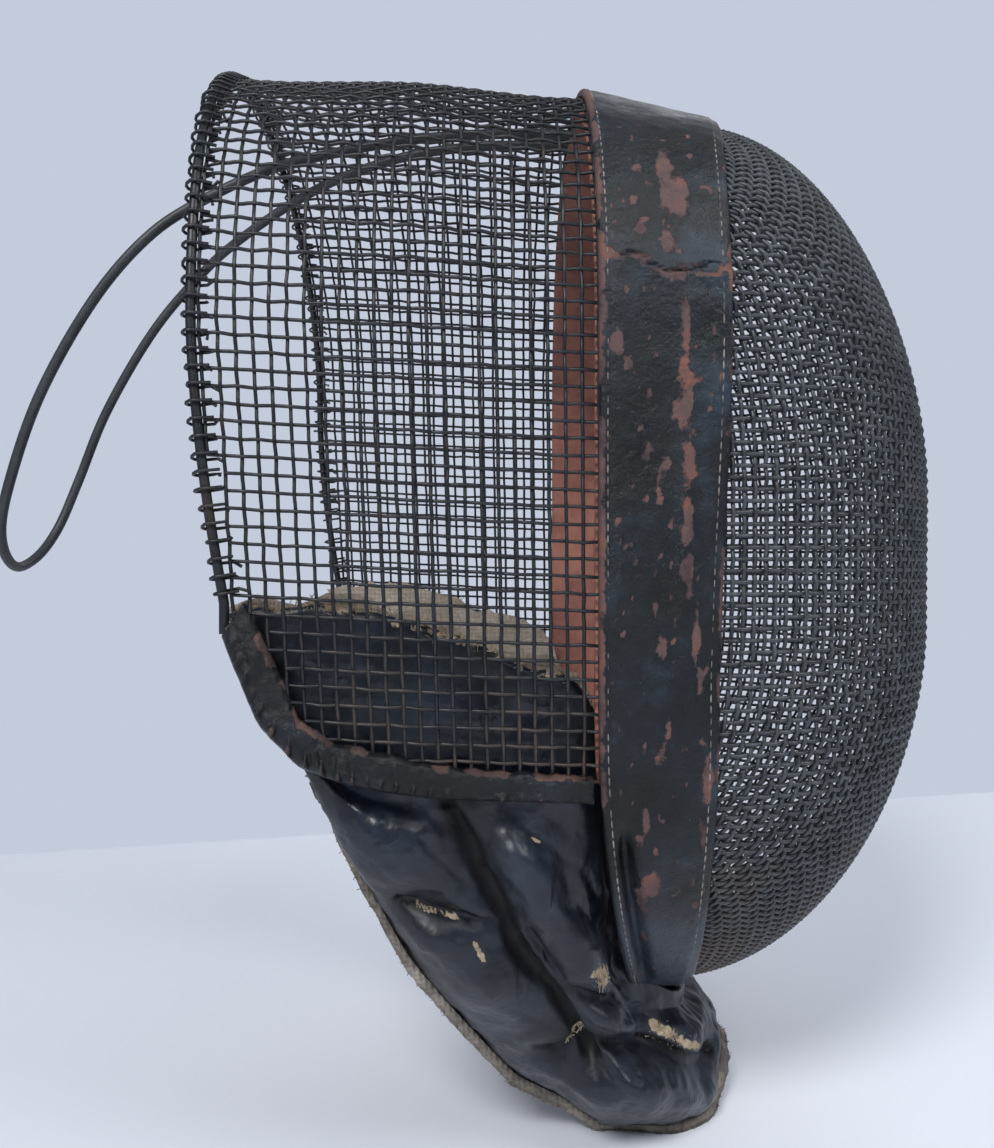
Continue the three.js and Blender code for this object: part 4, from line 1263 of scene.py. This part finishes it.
def bibLining():
    b = bib
    up = np.r_[np.linspace(1.05, 0, b["liningUpRows"], endpoint=False), np.zeros(b["liningDownRows"])]
    down = np.r_[np.zeros(b["liningUpRows"]), np.linspace(0, 1, b["liningDownRows"])]
    middle, outward, _, inner = bibFaces(b["columns"], up, down)
    ragged = noiseAt(middle[0], 9, 80.0) * 3 + noiseAt(middle[0], 2.5, 81.0) * 1.2
    middle[..., 2] += np.minimum(ragged[None] * np.clip((up - 0.6) / 0.4, 0, 1)[:, None], 1.2)
    soft = 0.3 * noiseAt(middle, 9, 82.0)
    far = middle - outward * (inner + b["liningGap"] + 0.1)[..., None]
    near = middle - outward * (inner + b["liningGap"] + b["liningWall"] + soft)[..., None]
    mesh = sheetMesh("bib_lining_canvas", far, near)
    piece = makePiece("bib_lining_canvas", mesh, linen)
    area = np.linalg.norm(np.cross(np.diff(far, axis=0)[:, :-1], np.diff(far, axis=1)[:-1]), axis=-1).sum()
    along = np.linalg.norm(np.diff(far, axis=1), axis=-1).sum(1).max() / 1000
    deep = np.linalg.norm(np.diff(far, axis=0), axis=-1).sum(0).max() / 1000
    print("  lining", round(along, 3), "by", round(deep, 3), "m,", round(area * 1e-6, 4), "square m")
    standIn(piece, "bib_lining")


def fibres(name, roots, ways, random, length, spread, radius, finish, points=4):
    lines = []
    for root, way in zip(roots, ways):
        heading = unit(way + random.normal(0, spread, 3))
        bend = random.normal(0, 0.5, 3)
        step = length * random.uniform(0.4, 1.3) / (points - 1)
        line = [root]
        for _ in range(points - 1):
            heading = unit(heading + bend * 0.45)
            line.append(line[-1] + heading * step)
        line = np.array(line)
        line[:, 2] = np.maximum(line[:, 2], 0.3)
        lines.append(line)
    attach(wires(name, lines, radius, 3, finish), "root")


def hemCanvas():  # the lining's edge turned out round the hem, frayed
    random = np.random.default_rng(91)
    count = bib["hemColumns"]
    table = [part[5:-5] for part in bibTable(count + 10)]  # starts clear of the trims' ends
    hem, seam = table[2], table[1]
    down = unit(hem - seam)
    grid = np.stack([seam, hem])
    side = outwardLevel(grid)[1]
    pad = table[4]
    wave = noiseAt(hem, 12, 92.0) * 0.9 + noiseAt(hem, 3, 93.0) * 0.5
    bulge = 2.2 * np.exp(-blob(hem[:, 0], -13, 5)) * (hem[:, 1] < 0)  # the seam has opened here
    across = np.linspace(0, 1, 9)[:, None]
    reach = bib["hemOut"] + 2.0 + 0.5 * wave + bulge
    out = mix(-pad / 2 - 0.8, reach, across)
    over = np.maximum(0, across - 0.8) / 0.2  # the turned edge stands up a little outside the skin
    top = hem[None] + side[None] * out[..., None] - down[None] * (bib["hemRoom"] - 0.3 + over)[..., None]
    under = 1.7 + 0.9 * wave - 0.9 * np.abs(across - 0.5)
    foot = hem[None] + side[None] * out[..., None] + down[None] * under[..., None]
    for face, least in ((top, 1.2), (foot, 0.0)):
        face[..., 2] = np.maximum(face[..., 2], least)
    mesh = sheetMesh("bib_hem_canvas", top, foot)
    piece = makePiece("bib_hem_canvas", mesh, soiledLinen)
    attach(piece, "root")
    pick = random.integers(4, count - 4, bib["frayCount"])
    roots = mix(top[-1], foot[-1], 0.8)[pick] - side[pick] * 0.3
    ways = side[pick] * 0.5 + down[pick]
    fibres("bib_hem_fray", roots, ways, random, bib["frayLength"], 0.7, 0.13, soiledLinen)


def tufts(middle, outward, outer):
    random = np.random.default_rng(97)
    flat = (middle + outward * outer[..., None]).reshape(-1, 3)
    normal = outward.reshape(-1, 3)
    roots, ways = [], []
    for (x0, z0, x1, z1, half), amount in zip(tears, (150, 170, 30, 30, 10, 25)):
        for _ in range(amount):
            t, s = random.uniform(0, 1), random.normal(0, half * 0.45)
            x, z = mix(x0, x1, t) + s, mix(z0, z1, t) + s * 0.6
            near = np.argmin((flat[:, 0] - x) ** 2 + (flat[:, 2] - z) ** 2 + 1e6 * (flat[:, 1] > 0))
            depth = foldDepth(flat[near][None])[0]
            roots.append(np.array([x, flat[near, 1], z]) - normal[near] * (depth - 1.0))
            ways.append(normal[near] * 0.45 + random.normal(0, 0.7, 3) + (0, 0, -0.2))
    fibres("bib_wadding_tufts", roots, ways, random, bib["tuftLength"], 0.5, 0.13, fluffWool)


def edgeFluff(middle, outward):  # wadding frayed out of the pad's top edge inside the mesh
    random = np.random.default_rng(99)
    roots, ways = [], []
    count = middle.shape[1]
    for _ in range(bib["fluffCount"]):
        if random.uniform() < 0.6:  # most of it near the rear tips
            column = int(abs(random.normal(0, 0.07)) * count)
        else:
            column = random.integers(0, count // 3)
        if random.uniform() >= 0.5:
            column = count - 1 - column
        column = int(np.clip(column, 1, count - 2))
        root = middle[0, column] + outward[0, column] * random.uniform(-2.5, 2.2)
        roots.append(root - (0, 0, random.uniform(0, 3)))
        ways.append(outward[0, column] * random.normal(0, 0.4) + (random.normal(0, 0.7), 0, 0.6))
    fibres("bib_edge_fluff", roots, ways, random, bib["fluffLength"], 0.5, 0.14, fluffWool)


middle, outward, outer = paddedBib()
bibLining()
hemCanvas()
tufts(middle, outward, outer)
edgeFluff(middle, outward)
print("bib padded")
